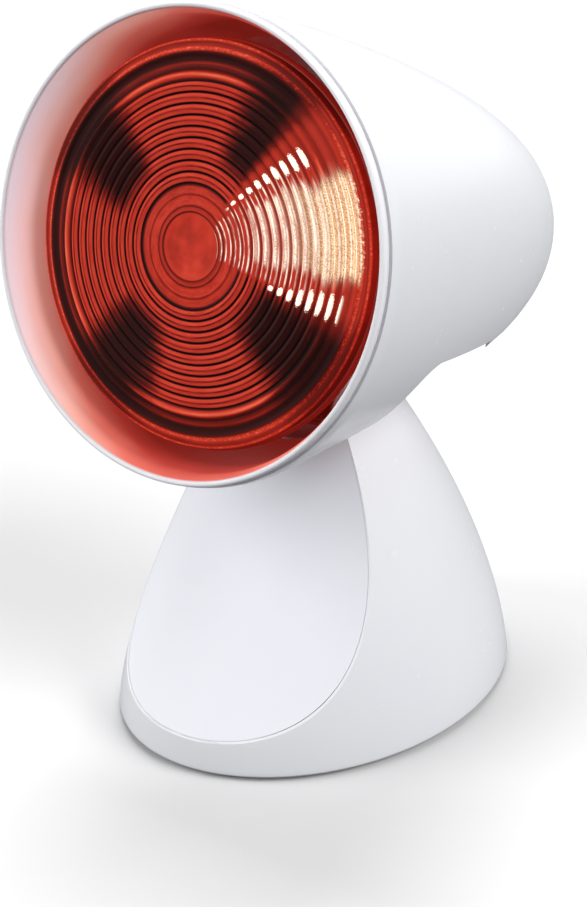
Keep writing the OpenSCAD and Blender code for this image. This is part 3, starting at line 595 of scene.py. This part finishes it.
class Sheet:
    """Lays out the nodes of one material or group."""

    def __init__(self, tree):
        self.tree = tree

    def put(self, kind, **settings):
        made = self.tree.nodes.new(kind)
        for key, value in settings.items():
            setattr(made, key, value)
        return made

    def join(self, source, target):
        self.tree.links.new(source, target)

    def feed(self, socket, value):
        if isinstance(value, bpy.types.NodeSocket):
            self.join(value, socket)
        else:
            socket.default_value = value

    def math(self, operation, a, b=0.0, clamp=False):
        made = self.put("ShaderNodeMath", operation=operation, use_clamp=clamp)
        self.feed(made.inputs[0], a)
        self.feed(made.inputs[1], b)
        return made.outputs[0]

    def chain(self, operation, first, more):
        for value in more:
            first = self.math(operation, first, value)
        return first

    def mul(self, first, *more):
        return self.chain("MULTIPLY", first, more)

    def add(self, first, *more):
        return self.chain("ADD", first, more)

    def most(self, first, *more):
        return self.chain("MAXIMUM", first, more)

    def less(self, a, b):
        return self.math("SUBTRACT", a, b)

    def sway(self, noise, amount):
        """A noise about 0.5 turned into one about zero."""
        return self.mul(self.less(noise, 0.5), amount)

    def reach(self, spot):
        """Distance from a part's own axis."""
        return self.math("SQRT", self.add(self.mul(spot[0], spot[0]), self.mul(spot[1], spot[1])))

    def mix(self, factor, a, b):
        made = self.put("ShaderNodeMix", data_type="RGBA")
        self.feed(made.inputs["Factor"], factor)
        self.feed(made.inputs[6], a)
        self.feed(made.inputs[7], b)
        return made.outputs[2]

    def span(self, value, low, high, to_low=0.0, to_high=1.0, smooth=False):
        made = self.put("ShaderNodeMapRange", clamp=True)
        made.interpolation_type = "SMOOTHSTEP" if smooth else "LINEAR"
        self.feed(made.inputs["Value"], value)
        self.feed(made.inputs["From Min"], low)
        self.feed(made.inputs["From Max"], high)
        self.feed(made.inputs["To Min"], to_low)
        self.feed(made.inputs["To Max"], to_high)
        return made.outputs[0]

    def ramp(self, value, stops):
        made = self.put("ShaderNodeValToRGB")
        marks = made.color_ramp.elements
        while len(marks) < len(stops):
            marks.new(0.5)
        for mark, (place, colour) in zip(marks, stops):
            mark.position = place
            mark.color = colour
        self.feed(made.inputs[0], value)
        return made.outputs[0]

    def between(self, value, start, full, fall, end):
        """A mask that rises, holds and falls again."""
        return self.mul(self.span(value, start, full, smooth=True),
                        self.span(value, end, fall, smooth=True))

    def noise(self, vector, scale, detail=3.0, rough=0.5):
        made = self.put("ShaderNodeTexNoise")
        self.feed(made.inputs["Vector"], vector)
        self.feed(made.inputs["Scale"], scale)
        self.feed(made.inputs["Detail"], detail)
        self.feed(made.inputs["Roughness"], rough)
        return made.outputs[0]

    def here(self):
        return self.put("ShaderNodeTexCoord").outputs["Object"]

    def in_frame(self, place):
        """Object coordinates turned into a part's own frame, in millimetres."""
        made = self.put("ShaderNodeMapping", vector_type="TEXTURE")
        self.join(self.here(), made.inputs["Vector"])
        made.inputs["Location"].default_value = place.translation * 0.001
        made.inputs["Rotation"].default_value = place.to_euler()
        made.inputs["Scale"].default_value = (0.001, 0.001, 0.001)
        return made.outputs[0]

    def split(self, vector):
        made = self.put("ShaderNodeSeparateXYZ")
        self.join(vector, made.inputs[0])
        return made.outputs

    def bump(self, height, distance):
        made = self.put("ShaderNodeBump")
        made.inputs["Strength"].default_value = 1.0
        made.inputs["Distance"].default_value = distance
        self.join(height, made.inputs["Height"])
        return made.outputs[0]


def rgb(r, g, b):
    """A colour written as the photograph's 0 to 255 values, made linear."""
    def linear(c):
        return c / 255 / 12.92 if c <= 10 else ((c / 255 + 0.055) / 1.055) ** 2.4

    return linear(r), linear(g), linear(b), 1.0


def new_group(name, ins, outs):
    group = bpy.data.node_groups.new(name, "ShaderNodeTree")
    for label, kind, value in ins:
        made = group.interface.new_socket(name=label, in_out="INPUT", socket_type=kind)
        if value is not None:
            made.default_value = value
    for label, kind in outs:
        group.interface.new_socket(name=label, in_out="OUTPUT", socket_type=kind)
    sheet = Sheet(group)
    return group, sheet, sheet.put("NodeGroupInput"), sheet.put("NodeGroupOutput")


def moulded_skin_group():
    """Injection-moulded plastic: a fine skin, slow waviness, faint tone drift and dust."""
    group, s, gin, gout = new_group(
        "moulded_skin",
        [("Colour", "NodeSocketColor", (0.8, 0.8, 0.8, 1)),
         ("Drift", "NodeSocketColor", (0.7, 0.7, 0.72, 1)),
         ("Drift Amount", "NodeSocketFloat", 0.2), ("Grain", "NodeSocketFloat", 1500.0),
         ("Roughness", "NodeSocketFloat", 0.3), ("Roughness Spread", "NodeSocketFloat", 0.08)],
        [("Colour", "NodeSocketColor"), ("Roughness", "NodeSocketFloat"), ("Height", "NodeSocketFloat")])
    # Injection-moulded plastic: a fine skin, slow waviness and faint tone drift.
    where = s.here()
    slow = s.noise(where, 14.0, 2.0, 0.5)
    mid = s.noise(where, 90.0, 4.0, 0.6)
    fine = s.noise(where, gin.outputs["Grain"], 2.0, 0.5)
    drift = s.mul(s.span(s.add(slow, s.mul(mid, 0.5)), 0.55, 0.95), gin.outputs["Drift Amount"])
    s.join(s.mix(drift, gin.outputs["Colour"], gin.outputs["Drift"]), gout.inputs["Colour"])
    smear = s.sway(mid, gin.outputs["Roughness Spread"])
    s.join(s.math("ADD", gin.outputs["Roughness"], smear, clamp=True), gout.inputs["Roughness"])
    s.join(s.add(s.mul(fine, 0.35), slow), gout.inputs["Height"])
    return group


def scuffed_group():
    """Fine random scratches and rubbed spots for metal."""
    group, s, gin, gout = new_group(
        "scuffed",
        [("Colour", "NodeSocketColor", (0.6, 0.6, 0.6, 1)),
         ("Tarnish", "NodeSocketColor", (0.3, 0.3, 0.3, 1)),
         ("Tarnish Amount", "NodeSocketFloat", 0.3), ("Roughness", "NodeSocketFloat", 0.3),
         ("Scale", "NodeSocketFloat", 200.0)],
        [("Colour", "NodeSocketColor"), ("Roughness", "NodeSocketFloat"), ("Height", "NodeSocketFloat")])
    where = s.here()
    stretch = s.put("ShaderNodeMapping")
    s.join(where, stretch.inputs["Vector"])
    stretch.inputs["Scale"].default_value = (1.0, 14.0, 2.0)
    lines = s.noise(stretch.outputs[0], gin.outputs["Scale"], 5.0, 0.65)
    cloud = s.noise(where, s.mul(gin.outputs["Scale"], 0.4), 4.0, 0.6)
    mask = s.mul(s.span(cloud, 0.45, 0.72, smooth=True), gin.outputs["Tarnish Amount"])
    s.join(s.mix(mask, gin.outputs["Colour"], gin.outputs["Tarnish"]), gout.inputs["Colour"])
    rough = s.add(gin.outputs["Roughness"], s.mul(s.less(lines, 0.45), 0.35))
    s.join(s.math("ADD", rough, s.mul(mask, 0.2), clamp=True), gout.inputs["Roughness"])
    s.join(lines, gout.inputs["Height"])
    return group


MOULDED = moulded_skin_group()
SCUFFED = scuffed_group()


def material(name):
    made = bpy.data.materials.new(name)
    made.use_nodes = True
    sheet = Sheet(made.node_tree)
    shader = made.node_tree.nodes["Principled BSDF"]
    return made, sheet, shader


def placed(sheet, group, **values):
    made = sheet.put("ShaderNodeGroup", node_tree=group)
    for label, value in values.items():
        made.inputs[label.replace("_", " ")].default_value = value
    return made


def moulded(name, colour, drift, amount, roughness, spread=0.08, grain=1500.0, bump=0.00002,
            coat=0.0, coat_rough=0.1, specular=0.5):
    made, s, shader = material(name)
    skin = placed(s, MOULDED, Colour=colour, Drift=drift, Drift_Amount=amount, Grain=grain,
                  Roughness=roughness, Roughness_Spread=spread)
    s.join(skin.outputs["Colour"], shader.inputs["Base Color"])
    s.join(skin.outputs["Roughness"], shader.inputs["Roughness"])
    s.join(s.bump(skin.outputs["Height"], bump), shader.inputs["Normal"])
    shader.inputs["Coat Weight"].default_value = coat
    shader.inputs["Coat Roughness"].default_value = coat_rough
    shader.inputs["Specular IOR Level"].default_value = specular
    return made


def metal(name, colour, tarnish, amount, roughness, scale=200.0, bump=0.00001):
    made, s, shader = material(name)
    skin = placed(s, SCUFFED, Colour=colour, Tarnish=tarnish, Tarnish_Amount=amount,
                  Roughness=roughness, Scale=scale)
    s.join(skin.outputs["Colour"], shader.inputs["Base Color"])
    s.join(skin.outputs["Roughness"], shader.inputs["Roughness"])
    s.join(s.bump(skin.outputs["Height"], bump), shader.inputs["Normal"])
    shader.inputs["Metallic"].default_value = 1.0
    return made


def liner_white():
    """The pale wall with the bulb's red light painted on it, in its colour and as a glow: pale at the lip,
    painted red towards the bulb and most of all above and below it."""
    made, s, shader = material("liner_white")
    skin = placed(s, MOULDED, Colour=rgb(244, 244, 248), Drift=rgb(232, 233, 238), Drift_Amount=0.2,
                  Grain=1500.0, Roughness=0.22, Roughness_Spread=0.06)
    spot = s.split(s.in_frame(HEAD))
    depth = spot[2]
    radius = s.reach(spot)
    turn = s.math("ARCTAN2", spot[1], spot[0])
    upright = s.math("POWER", s.math("ABSOLUTE", s.math("SINE", s.less(turn, 0.05))), 3.0)
    # Painted red light: how strongly the bulb's glow is painted on the wall, more deeply in, above and
    # below the bulb and towards +x, varied by noise.
    glow_level = s.add(s.mul(s.span(depth, 1.0, 24.0), 0.55), s.mul(upright, 0.5))
    glow_level = s.add(glow_level, s.span(spot[0], -25.0, 45.0, 0.0, 0.34))
    drift = s.noise(s.in_frame(HEAD), 0.03, 2.0, 0.5)
    glow_level = s.math("ADD", glow_level, s.sway(drift, 0.3), clamp=True)
    # The painted red light's colours, from pale pink at the lip to deep red.
    light_tint = s.ramp(glow_level, [(0.0, rgb(226, 212, 222)), (0.16, rgb(236, 204, 204)),
                          (0.36, rgb(236, 172, 158)), (0.55, rgb(222, 116, 102)),
                          (0.78, rgb(188, 64, 55)), (1.0, rgb(150, 38, 30))])
    inside = s.mul(s.span(radius, 68.4, 67.9), s.span(depth, 0.5, 1.3))
    s.join(s.mix(inside, skin.outputs["Colour"], light_tint), shader.inputs["Base Color"])
    s.join(s.add(skin.outputs["Roughness"], s.mul(inside, 0.35)), shader.inputs["Roughness"])
    s.join(s.bump(skin.outputs["Height"], 0.00001), shader.inputs["Normal"])
    # Painted glow: the painted red light also emits a little light of its own.
    s.join(s.mix(inside, rgb(0, 0, 0), light_tint), shader.inputs["Emission Color"])
    shader.inputs["Emission Strength"].default_value = 0.42
    shader.inputs["Specular IOR Level"].default_value = 0.1
    return made


# Painted light and shade of the lens's bands by radius, with painted highlights in the bright rings near
# 49.5 and 56.8; the ridges have their own wave from 18.3 to 47.65
LENS_BAND_LIGHT = [
    (0, 0.72), (9.7, 0.72), (10.1, 0.22), (10.5, 0.6), (11.4, 0.6), (11.8, 0.28), (12.3, 0.58),
    (14.7, 0.57), (15.1, 0.3), (15.6, 0.55), (17.4, 0.52), (18.1, 0.12), (18.3, 0), (47.65, 0),
    (48.3, 0.42), (49.3, 0.84), (49.6, 0.84), (50.2, 0.40), (50.85, 0.12), (51.8, 0.3),
    (52.6, 0.4), (53.3, 0.16), (54.5, 0.10), (55.7, 0.18), (56.5, 0.56), (56.9, 0.66),
    (57.6, 0.46), (58.6, 0.36), (59.15, 0.60), (59.45, 0.62), (59.8, 0.38),
]
BAND_LIGHT_R = 62.0


class LensFields:
    """What the lens's material is drawn from: places on it, its ridge waves and its noises."""

    def __init__(self, s):
        self.place = s.in_frame(HEAD)
        spot = s.split(self.place)
        self.radius = s.reach(spot)
        self.angle = s.math("ARCTAN2", spot[1], spot[0])
        self.turn = s.mul(self.angle, 180 / math.pi)
        cycle = s.math("DIVIDE", s.less(self.radius, RIDGE_FIRST), RIDGE_PITCH)
        self.wave = s.math("ABSOLUTE", s.math("SINE", s.mul(cycle, math.pi)))
        self.fine = s.math("ABSOLUTE", s.math("SINE", s.mul(cycle, math.pi * 2)))
        along = s.put("ShaderNodeCombineXYZ")
        s.join(s.mul(self.radius, 0.9), along.inputs[0])
        s.join(s.mul(self.angle, 3.0), along.inputs[1])
        self.streak = s.noise(along.outputs[0], 1.0, 4.0, 0.65)
        self.soft = s.noise(self.place, 0.05, 3.0, 0.6)
        self.sand = s.noise(self.place, 0.9, 4.0, 0.7)
        # A fine noise that grains the painted glints, sparkles and glow of the fan.
        self.glint_grain = s.noise(self.place, 2.4, 3.0, 0.65)
        step = s.put("ShaderNodeCombineXYZ")
        s.join(s.mul(s.math("FLOOR", cycle), 3.7), step.inputs[0])
        shift = s.sway(s.noise(step.outputs[0], 1.0, 0.0), 9.0)
        self.drawn = s.add(self.turn, s.add(shift, s.sway(self.streak, 10.0)))


def ruby_glass(s, f):
    """Red glass with its light and shade painted in: bright ridges, near black grooves, plain bands,
    painted glints near the rim and four dark sectors painted as the mirror's reflection of dark
    surroundings.
    """
    # A darker line along each ridge's crest, and the ridges painted bright over grooves left near black:
    # painted light and shade.
    crest_line = s.mul(s.span(f.wave, 0.95, 0.99), s.span(f.streak, 0.42, 0.6, 0.1, 0.55))
    ridge = s.mul(s.add(0.49, s.mul(f.fine, 0.13)), s.span(f.wave, 0.16, 0.52, smooth=True))
    ridge = s.mul(ridge, s.less(1.0, crest_line))
    # Painted light and shade of the plain bands, by radius.
    bands = s.ramp(s.math("DIVIDE", f.radius, BAND_LIGHT_R),
                   [(r / BAND_LIGHT_R, (v, v, v, 1)) for r, v in LENS_BAND_LIGHT])
    level = s.add(s.mul(ridge, s.between(f.radius, 18.2, 18.5, 47.5, 47.8)), bands)
    # Painted glints: two dotted bright rings near the rim.
    rim_glints = s.most(s.between(f.radius, 56.0, 56.5, 57.1, 57.6),
                  s.between(f.radius, 58.9, 59.2, 59.4, 59.7))
    level = s.add(level, s.mul(rim_glints, s.span(s.most(f.sand, f.glint_grain), 0.52, 0.66, 0.0, 0.35)))

    # Painted reflection: four dark sectors where the mirror shows dark surroundings, ragged by noise.
    quarter = s.math("COSINE", s.mul(s.add(f.angle, 0.25), 4.0))
    lit_sector = s.add(quarter, s.sway(f.soft, 0.8), s.sway(f.streak, 0.7))
    lit_sector = s.span(lit_sector, -1.0, 0.1, smooth=True)
    reach = s.mul(s.span(f.radius, 22.0, 31.0, smooth=True), s.span(f.radius, 58.0, 50.0, 0.45, 1.0))
    level = s.mul(level, s.less(1.0, s.mul(reach, s.span(lit_sector, 0.0, 1.0, 0.82, 0.0))))
    level = s.mul(level, s.span(s.mul(f.streak, s.span(f.radius, 9.0, 13.0)), 0.25, 0.6, 0.85, 1.1))

    # Painted glow: next to the fan the grooves are lifted out of black.
    outer = s.mul(s.between(f.turn, -64, -48, 8, 26), s.between(f.radius, 34.0, 48.0, 58.0, 60.0))
    inner = s.mul(s.between(f.turn, -60, -51, 10, 16), s.between(f.radius, 14.0, 17.0, 50.0, 52.0))
    fan_side_glow = s.mul(s.most(outer, inner), s.add(0.42, s.mul(f.wave, 0.14)))
    level = s.most(level, fan_side_glow)
    blotch = s.span(s.noise(f.place, 0.13, 2.0), 0.35, 0.65, -0.12, 0.05)
    level = s.math("ADD", level, s.mul(s.span(f.radius, 10.0, 8.0), blotch), clamp=True)
    # The painted light level turned into the glass's reds, near black in painted shade.
    return s.ramp(level, [(0.0, rgb(16, 5, 5)), (0.15, rgb(50, 14, 11)), (0.35, rgb(110, 24, 17)),
                          (0.6, rgb(188, 52, 37)), (0.8, rgb(212, 78, 54)), (1.0, rgb(238, 122, 88))])


def painted_fan_glow(s, f):
    """The fan's painted glow, a reflection of light in the mirror: its colour, and the mask that says where
    it lies.
    """
    grain = s.span(f.glint_grain, 0.34, 0.66, 0.1, 0.75)
    glow = s.add(grain, s.mul(s.span(f.wave, 0.05, 0.4, 0.6, 0.0), 0.5))
    fan_glow_colour = s.ramp(glow, [(0.0, rgb(184, 104, 62)), (0.35, rgb(204, 150, 104)),
                         (0.65, rgb(226, 194, 150)), (1.0, rgb(255, 246, 222))])
    ragged = s.add(f.radius, s.sway(f.sand, 5.0))
    fan_glow_mask = s.mul(s.between(f.drawn, -35, -30, -3, 1), s.between(ragged, 30.0, 50.0, 56.6, 57.4))
    return fan_glow_colour, s.mul(fan_glow_mask, s.span(f.glint_grain, 0.3, 0.45, 0.6, 1.0))


def painted_fan_glints(s, f):
    """Painted glints: the thin and the bold bright threads that the mirror's reflection draws along the
    ridges.
    """
    thread = s.mul(s.span(f.fine, 0.86, 0.99), s.span(f.streak, 0.40, 0.58, 0.1, 0.95))
    thread = s.mul(thread, s.mul(s.between(f.drawn, -45, -40, 8, 12),
                                 s.between(f.radius, 9.4, 9.8, 36.0, 46.0)))
    broken = s.span(s.add(f.streak, s.less(f.glint_grain, 0.5)), 0.34, 0.6, 0.25, 1.0)
    bold = s.mul(s.span(f.wave, 0.84, 0.97), broken, s.between(f.drawn, -37, -33, -2, 3))
    bold = s.mul(bold, s.between(f.radius, 21.0, 26.0, 44.0, 50.0))
    return s.most(thread, bold)


def painted_fan_sparkles(s, f):
    """Painted sparkles of reflected light along both sides of the fan, one to a ridge, ragged at their
    edges.
    """
    bulge = s.math("POWER", s.mul(s.less(1.0, f.wave), 2.8), 2.0)
    ragged = s.sway(f.glint_grain, 2.6)

    def row(centre, half, start, full, fall, end):
        away = s.math("DIVIDE", s.less(f.turn, centre), half)
        shape = s.add(s.mul(away, away), bulge, ragged)
        return s.mul(s.span(shape, 1.0, 0.8), s.between(f.radius, start, full, fall, end))

    upper = row(s.add(s.mul(f.radius, 0.22), -53.0), s.span(f.radius, 16.0, 46.0, 1.2, 4.2),
                16.0, 18.0, 47.4, 47.8)
    lower = row(s.span(f.radius, 30.0, 48.0, 12.6, 9.6), s.span(f.radius, 28.0, 44.0, 1.2, 4.6),
                27.0, 30.0, 52.0, 53.0)
    return s.most(upper, lower)


def ruby_lens():
    """Pressed ruby glass over a mirrored bowl, with its light painted in: on one side the bright fan that
    the mirror throws through the ridges is painted as a reflection, with painted glints and glow."""
    made, s, shader = material("ruby_lens")
    f = LensFields(s)
    fan_glow_colour, fan_glow_mask = painted_fan_glow(s, f)
    # Painted glints: thin bright lines along the ridges within the fan's glow.
    lines = s.mul(s.span(f.fine, 0.86, 0.98), s.span(f.glint_grain, 0.36, 0.52, 0.3, 0.95), fan_glow_mask)
    # Painted glow: a pale pink between the fan's threads.
    painted_warm_glow = s.mul(s.between(f.drawn, -38, -32, -2, 4), s.between(f.radius, 20.0, 30.0, 50.0, 56.0))
    painted_warm_glow = s.mul(painted_warm_glow, s.span(f.wave, 0.2, 0.75, 0.1, 0.75), s.span(f.glint_grain, 0.3, 0.6, 0.55, 1.0))
    # All the painted glints: threads, sparkles and lines.
    painted_glints = s.most(painted_fan_glints(s, f), painted_fan_sparkles(s, f), lines)
    colour = s.mix(painted_warm_glow, ruby_glass(s, f), rgb(226, 164, 140))
    colour = s.mix(painted_glints, s.mix(fan_glow_mask, colour, fan_glow_colour), rgb(255, 248, 228))
    s.join(colour, shader.inputs["Base Color"])
    # Painted glow: the fan and its glints emit light of their own, and the rest of the lens at half
    # strength.
    s.join(s.mix(s.most(painted_glints, fan_glow_mask, 0.5), rgb(0, 0, 0), colour), shader.inputs["Emission Color"])
    shader.inputs["Emission Strength"].default_value = 0.55
    s.join(s.span(s.noise(s.here(), 400.0, 3.0), 0.2, 0.8, 0.08, 0.16), shader.inputs["Roughness"])
    s.join(s.bump(s.noise(f.place, 0.7, 3.0, 0.6), 0.00005), shader.inputs["Normal"])
    shader.inputs["Specular IOR Level"].default_value = 0.04
    shader.inputs["Coat Weight"].default_value = 0.05
    shader.inputs["Coat Roughness"].default_value = 0.05
    return made


def ruby_bowl():
    """Red glass seen from outside, with a little painted glow, as if lit from within."""
    made, s, shader = material("ruby_bowl")
    where = s.here()
    tone = s.noise(where, 40.0, 4.0, 0.55)
    s.join(s.ramp(tone, [(0.3, rgb(112, 24, 18)), (0.7, rgb(154, 40, 30))]), shader.inputs["Base Color"])
    s.join(s.span(s.noise(where, 260.0, 3.0), 0.3, 0.7, 0.08, 0.2), shader.inputs["Roughness"])
    s.join(s.bump(s.noise(where, 120.0, 3.0), 0.00003), shader.inputs["Normal"])
    shader.inputs["Specular IOR Level"].default_value = 0.2
    # Painted glow: the red glass emits a little light of its own.
    shader.inputs["Emission Color"].default_value = rgb(132, 32, 24)
    shader.inputs["Emission Strength"].default_value = 0.3
    shader.inputs["Coat Weight"].default_value = 0.3
    shader.inputs["Coat Roughness"].default_value = 0.05
    return made


def painted_light_over(made, mask, light_tint, glow=0.0):
    """Paints light over the colour of a finish where a mask says, with a little glow of its own."""
    s = Sheet(made.node_tree)
    shader = made.node_tree.nodes["Principled BSDF"]
    plain = shader.inputs["Base Color"].links[0].from_socket
    where = mask(s)
    s.join(s.mix(where, plain, light_tint), shader.inputs["Base Color"])
    if glow:
        s.join(s.mix(where, rgb(0, 0, 0), light_tint), shader.inputs["Emission Color"])
        shader.inputs["Emission Strength"].default_value = glow
    return made


def painted_glow_inside_hood(s):
    """Where the bulb's red light is painted as a glow: the hood's inner side, from behind the liner to past
    the bulb.
    """
    spot = s.split(s.in_frame(HEAD))
    taper = s.math("POWER", s.most(s.math("DIVIDE", spot[2], HOOD_LEN), 0.0), HOOD_TAPER)
    middle = s.math("POWER", s.most(s.less(1.0, taper), 0.0), 1 / HOOD_FULLNESS)
    under = s.less(s.mul(middle, HOOD_R - 1.0), s.reach(spot))
    return s.mul(s.span(under, 0.0, 0.3), s.between(spot[2], 38.0, 42.0, 60.0, 100.0))


def painted_light_under_hood(s):
    """Where the bulb's red light, which reaches the front of the neck's top through the cut-out, is painted
    on.
    """
    spot = s.split(s.in_frame(BASE))
    across = s.span(s.math("ABSOLUTE", spot[0]), 20.0, 16.0, smooth=True)
    front = s.span(spot[1], -4.0, -12.0, smooth=True)
    return s.mul(across, front, s.span(spot[2], 94.0, 97.0, smooth=True))


def white_plastic(name):
    return moulded(name, rgb(238, 239, 243), rgb(230, 232, 238), 0.25, 0.26,
                   coat=0.12, coat_rough=0.14, specular=0.35)


# Painted red light of the bulb on the front of the neck's top and the panel next to it.
NECK_PAINTED_LIGHT = rgb(150, 44, 38)
WHITE = white_plastic("white_plastic")
# Painted glow: the bulb's red light painted on the hood's inner side, emitting a little light.
HOOD_WHITE = painted_light_over(white_plastic("hood_plastic"), painted_glow_inside_hood, rgb(150, 40, 32), 0.35)
NECK_WHITE = painted_light_over(white_plastic("neck_plastic"), painted_light_under_hood, NECK_PAINTED_LIGHT)
PANEL = painted_light_over(moulded("white_panel", rgb(237, 238, 244), rgb(229, 231, 239), 0.25, 0.32,
                        coat=0.15, coat_rough=0.2), painted_light_under_hood, NECK_PAINTED_LIGHT)
LINER = liner_white()
LENS = ruby_lens()
BOWL = ruby_bowl()
BLACK = moulded("black_plastic", rgb(30, 30, 32), rgb(44, 44, 46), 0.5, 0.42, 0.2, 3000.0, 0.00004)
RUBBER = moulded("black_rubber", rgb(36, 36, 37), rgb(62, 61, 60), 0.6, 0.78, 0.2, 2200.0, 0.00008,
                 specular=0.3)
PORCELAIN = moulded("porcelain", rgb(232, 228, 216), rgb(214, 206, 188), 0.5, 0.2, 0.1, 900.0, 0.00003,
                    coat=0.6)
FIBRE = moulded("fibre", rgb(150, 96, 58), rgb(112, 68, 40), 0.7, 0.7, 0.2, 2600.0, 0.00008)
BLACK_GLASS = moulded("black_glass", rgb(22, 22, 26), rgb(40, 38, 44), 0.3, 0.08, 0.1, 600.0, 0.00001)
STEEL = metal("zinc_steel", rgb(196, 197, 196), rgb(140, 140, 134), 0.5, 0.32, 220.0)
BRASS = metal("thread_brass", rgb(214, 182, 112), rgb(140, 104, 54), 0.5, 0.28, 260.0)
SOLDER = metal("solder", rgb(186, 188, 190), rgb(120, 120, 122), 0.6, 0.38, 500.0)
IRON = moulded("cast_iron", rgb(74, 74, 76), rgb(112, 80, 58), 0.6, 0.62, 0.2, 900.0, 0.00018)
SHEET_STEEL = metal("floor_sheet", rgb(176, 178, 180), rgb(128, 130, 130), 0.6, 0.42, 90.0)
TUNGSTEN = metal("filament_wire", rgb(120, 118, 116), rgb(60, 58, 58), 0.5, 0.5, 800.0)


def dress(piece, finish, body=None):
    piece.data.materials.clear()
    piece.data.materials.append(finish)
    if body:
        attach(piece, body)
    return piece


hood = dress(hood_piece(), HOOD_WHITE, "head")
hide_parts("hood_shell")
liner = dress(liner_piece(), LINER, "head")
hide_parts("hood_liner")
lens = dress(lens_piece(), LENS, "bulb")
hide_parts("bulb_lens")
bowl = dress(bowl_piece(), BOWL, "bulb")
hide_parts("bulb_bowl")
pedestal = dress(pedestal_piece(), NECK_WHITE, "base")
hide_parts("pedestal_shell")
panel = dress(panel_piece(), PANEL, "base")
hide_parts("front_panel")

FINISHES = {
    "head_bracket": STEEL, "bracket_screws": STEEL, "socket_body": PORCELAIN, "socket_sleeve": BRASS,
    "socket_contact": BRASS, "contact_screw": BRASS, "socket_screws": STEEL, "bulb_cap": BRASS,
    "cap_insulator": BLACK_GLASS, "cap_contact": SOLDER, "filament_mount": TUNGSTEN,
    "base_plate": SHEET_STEEL, "base_screws": STEEL, "rubber_feet": RUBBER, "ballast_weight": IRON,
    "ballast_screws": STEEL, "hinge_sleeve": BRASS, "pivot_bolt": STEEL, "pivot_nut": STEEL,
    "pivot_caps": WHITE, "friction_washers": FIBRE, "switch_housing": BLACK, "switch_rocker": BLACK,
    "switch_terminals": STEEL, "inlet_grommet": RUBBER, "cord_clamp": BLACK, "clamp_screws": STEEL,
    "terminal_block": PORCELAIN, "terminal_screws": BRASS,
}
EASED = {
    "head_bracket": ("head", 0.35), "socket_body": ("head", 0.5), "base_plate": ("base", 0.35),
    "rubber_feet": ("base", 0.5), "pivot_caps": ("base", 0.4), "switch_housing": ("base", 0.35),
    "switch_rocker": ("rocker", 0.4), "inlet_grommet": ("base", 0.4), "ballast_weight": ("base", 0.8),
    "cord_clamp": ("base", 0.4), "terminal_block": ("base", 0.35),
}
for node, finish in FINISHES.items():
    if node in EASED:
        body, width = EASED[node]
        dress(eased(node, width, body), finish)
    else:
        dress(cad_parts[node], finish)


# ---- floor, light ----

def floor_paper():
    """Pale to the camera, and dark to the part, so that it throws no light back up."""
    made, s, shader = material("floor_paper")
    shader.inputs["Base Color"].default_value = (0.78, 0.78, 0.784, 1)
    shader.inputs["Roughness"].default_value = 0.9
    shader.inputs["Specular IOR Level"].default_value = 0.1
    dim = s.put("ShaderNodeBsdfDiffuse")
    dim.inputs["Color"].default_value = (0.08, 0.08, 0.09, 1)
    seen = s.put("ShaderNodeLightPath")
    mixer = s.put("ShaderNodeMixShader")
    clear = s.most(seen.outputs["Is Camera Ray"], s.mul(seen.outputs["Is Glossy Ray"], 0.35))
    s.join(clear, mixer.inputs[0])
    s.join(dim.outputs[0], mixer.inputs[1])
    s.join(shader.outputs[0], mixer.inputs[2])
    s.join(mixer.outputs[0], made.node_tree.nodes["Material Output"].inputs["Surface"])
    return made


def studio_floor():
    bm = bmesh.new()
    bmesh.ops.create_grid(bm, x_segments=1, y_segments=1, size=6)
    mesh = bpy.data.meshes.new("studio_floor")
    bm.to_mesh(mesh)
    bm.free()
    mesh.materials.append(floor_paper())
    floor = bpy.data.objects.new("studio_floor", mesh)
    floor.location = (0, 0, -0.0002)
    bpy.context.scene.collection.objects.link(floor)


def studio_world():
    """White to the camera and in reflections, with only a little light of its own."""
    world = bpy.data.worlds.new("studio")
    bpy.context.scene.world = world
    world.use_nodes = True
    s = Sheet(world.node_tree)
    back = world.node_tree.nodes["Background"]
    seen = s.put("ShaderNodeLightPath").outputs
    clear = s.most(seen["Is Camera Ray"], seen["Is Transmission Ray"], seen["Is Glossy Ray"])
    back.inputs["Color"].default_value = (1.0, 1.0, 1.0, 1)
    s.join(s.span(clear, 0.0, 1.0, 0.12, 1.0), back.inputs["Strength"])


def broad_light(name, toward, strength, spread):
    """A sun as wide as a softbox, out of the reflections."""
    data = bpy.data.lights.new(name, "SUN")
    data.energy = strength
    data.angle = math.radians(spread)
    lamp = bpy.data.objects.new(name, data)
    lamp.visible_glossy = False
    lamp.rotation_euler = Vector(toward).to_track_quat("Z", "Y").to_euler()
    bpy.context.scene.collection.objects.link(lamp)


studio_floor()
studio_world()
broad_light("overhead", (-0.24, 0.36, 0.90), 1.9, 28)
broad_light("from_right", (0.84, 0.10, 0.53), 2.75, 46)
broad_light("from_left", (-0.58, -0.72, 0.38), 2.45, 50)
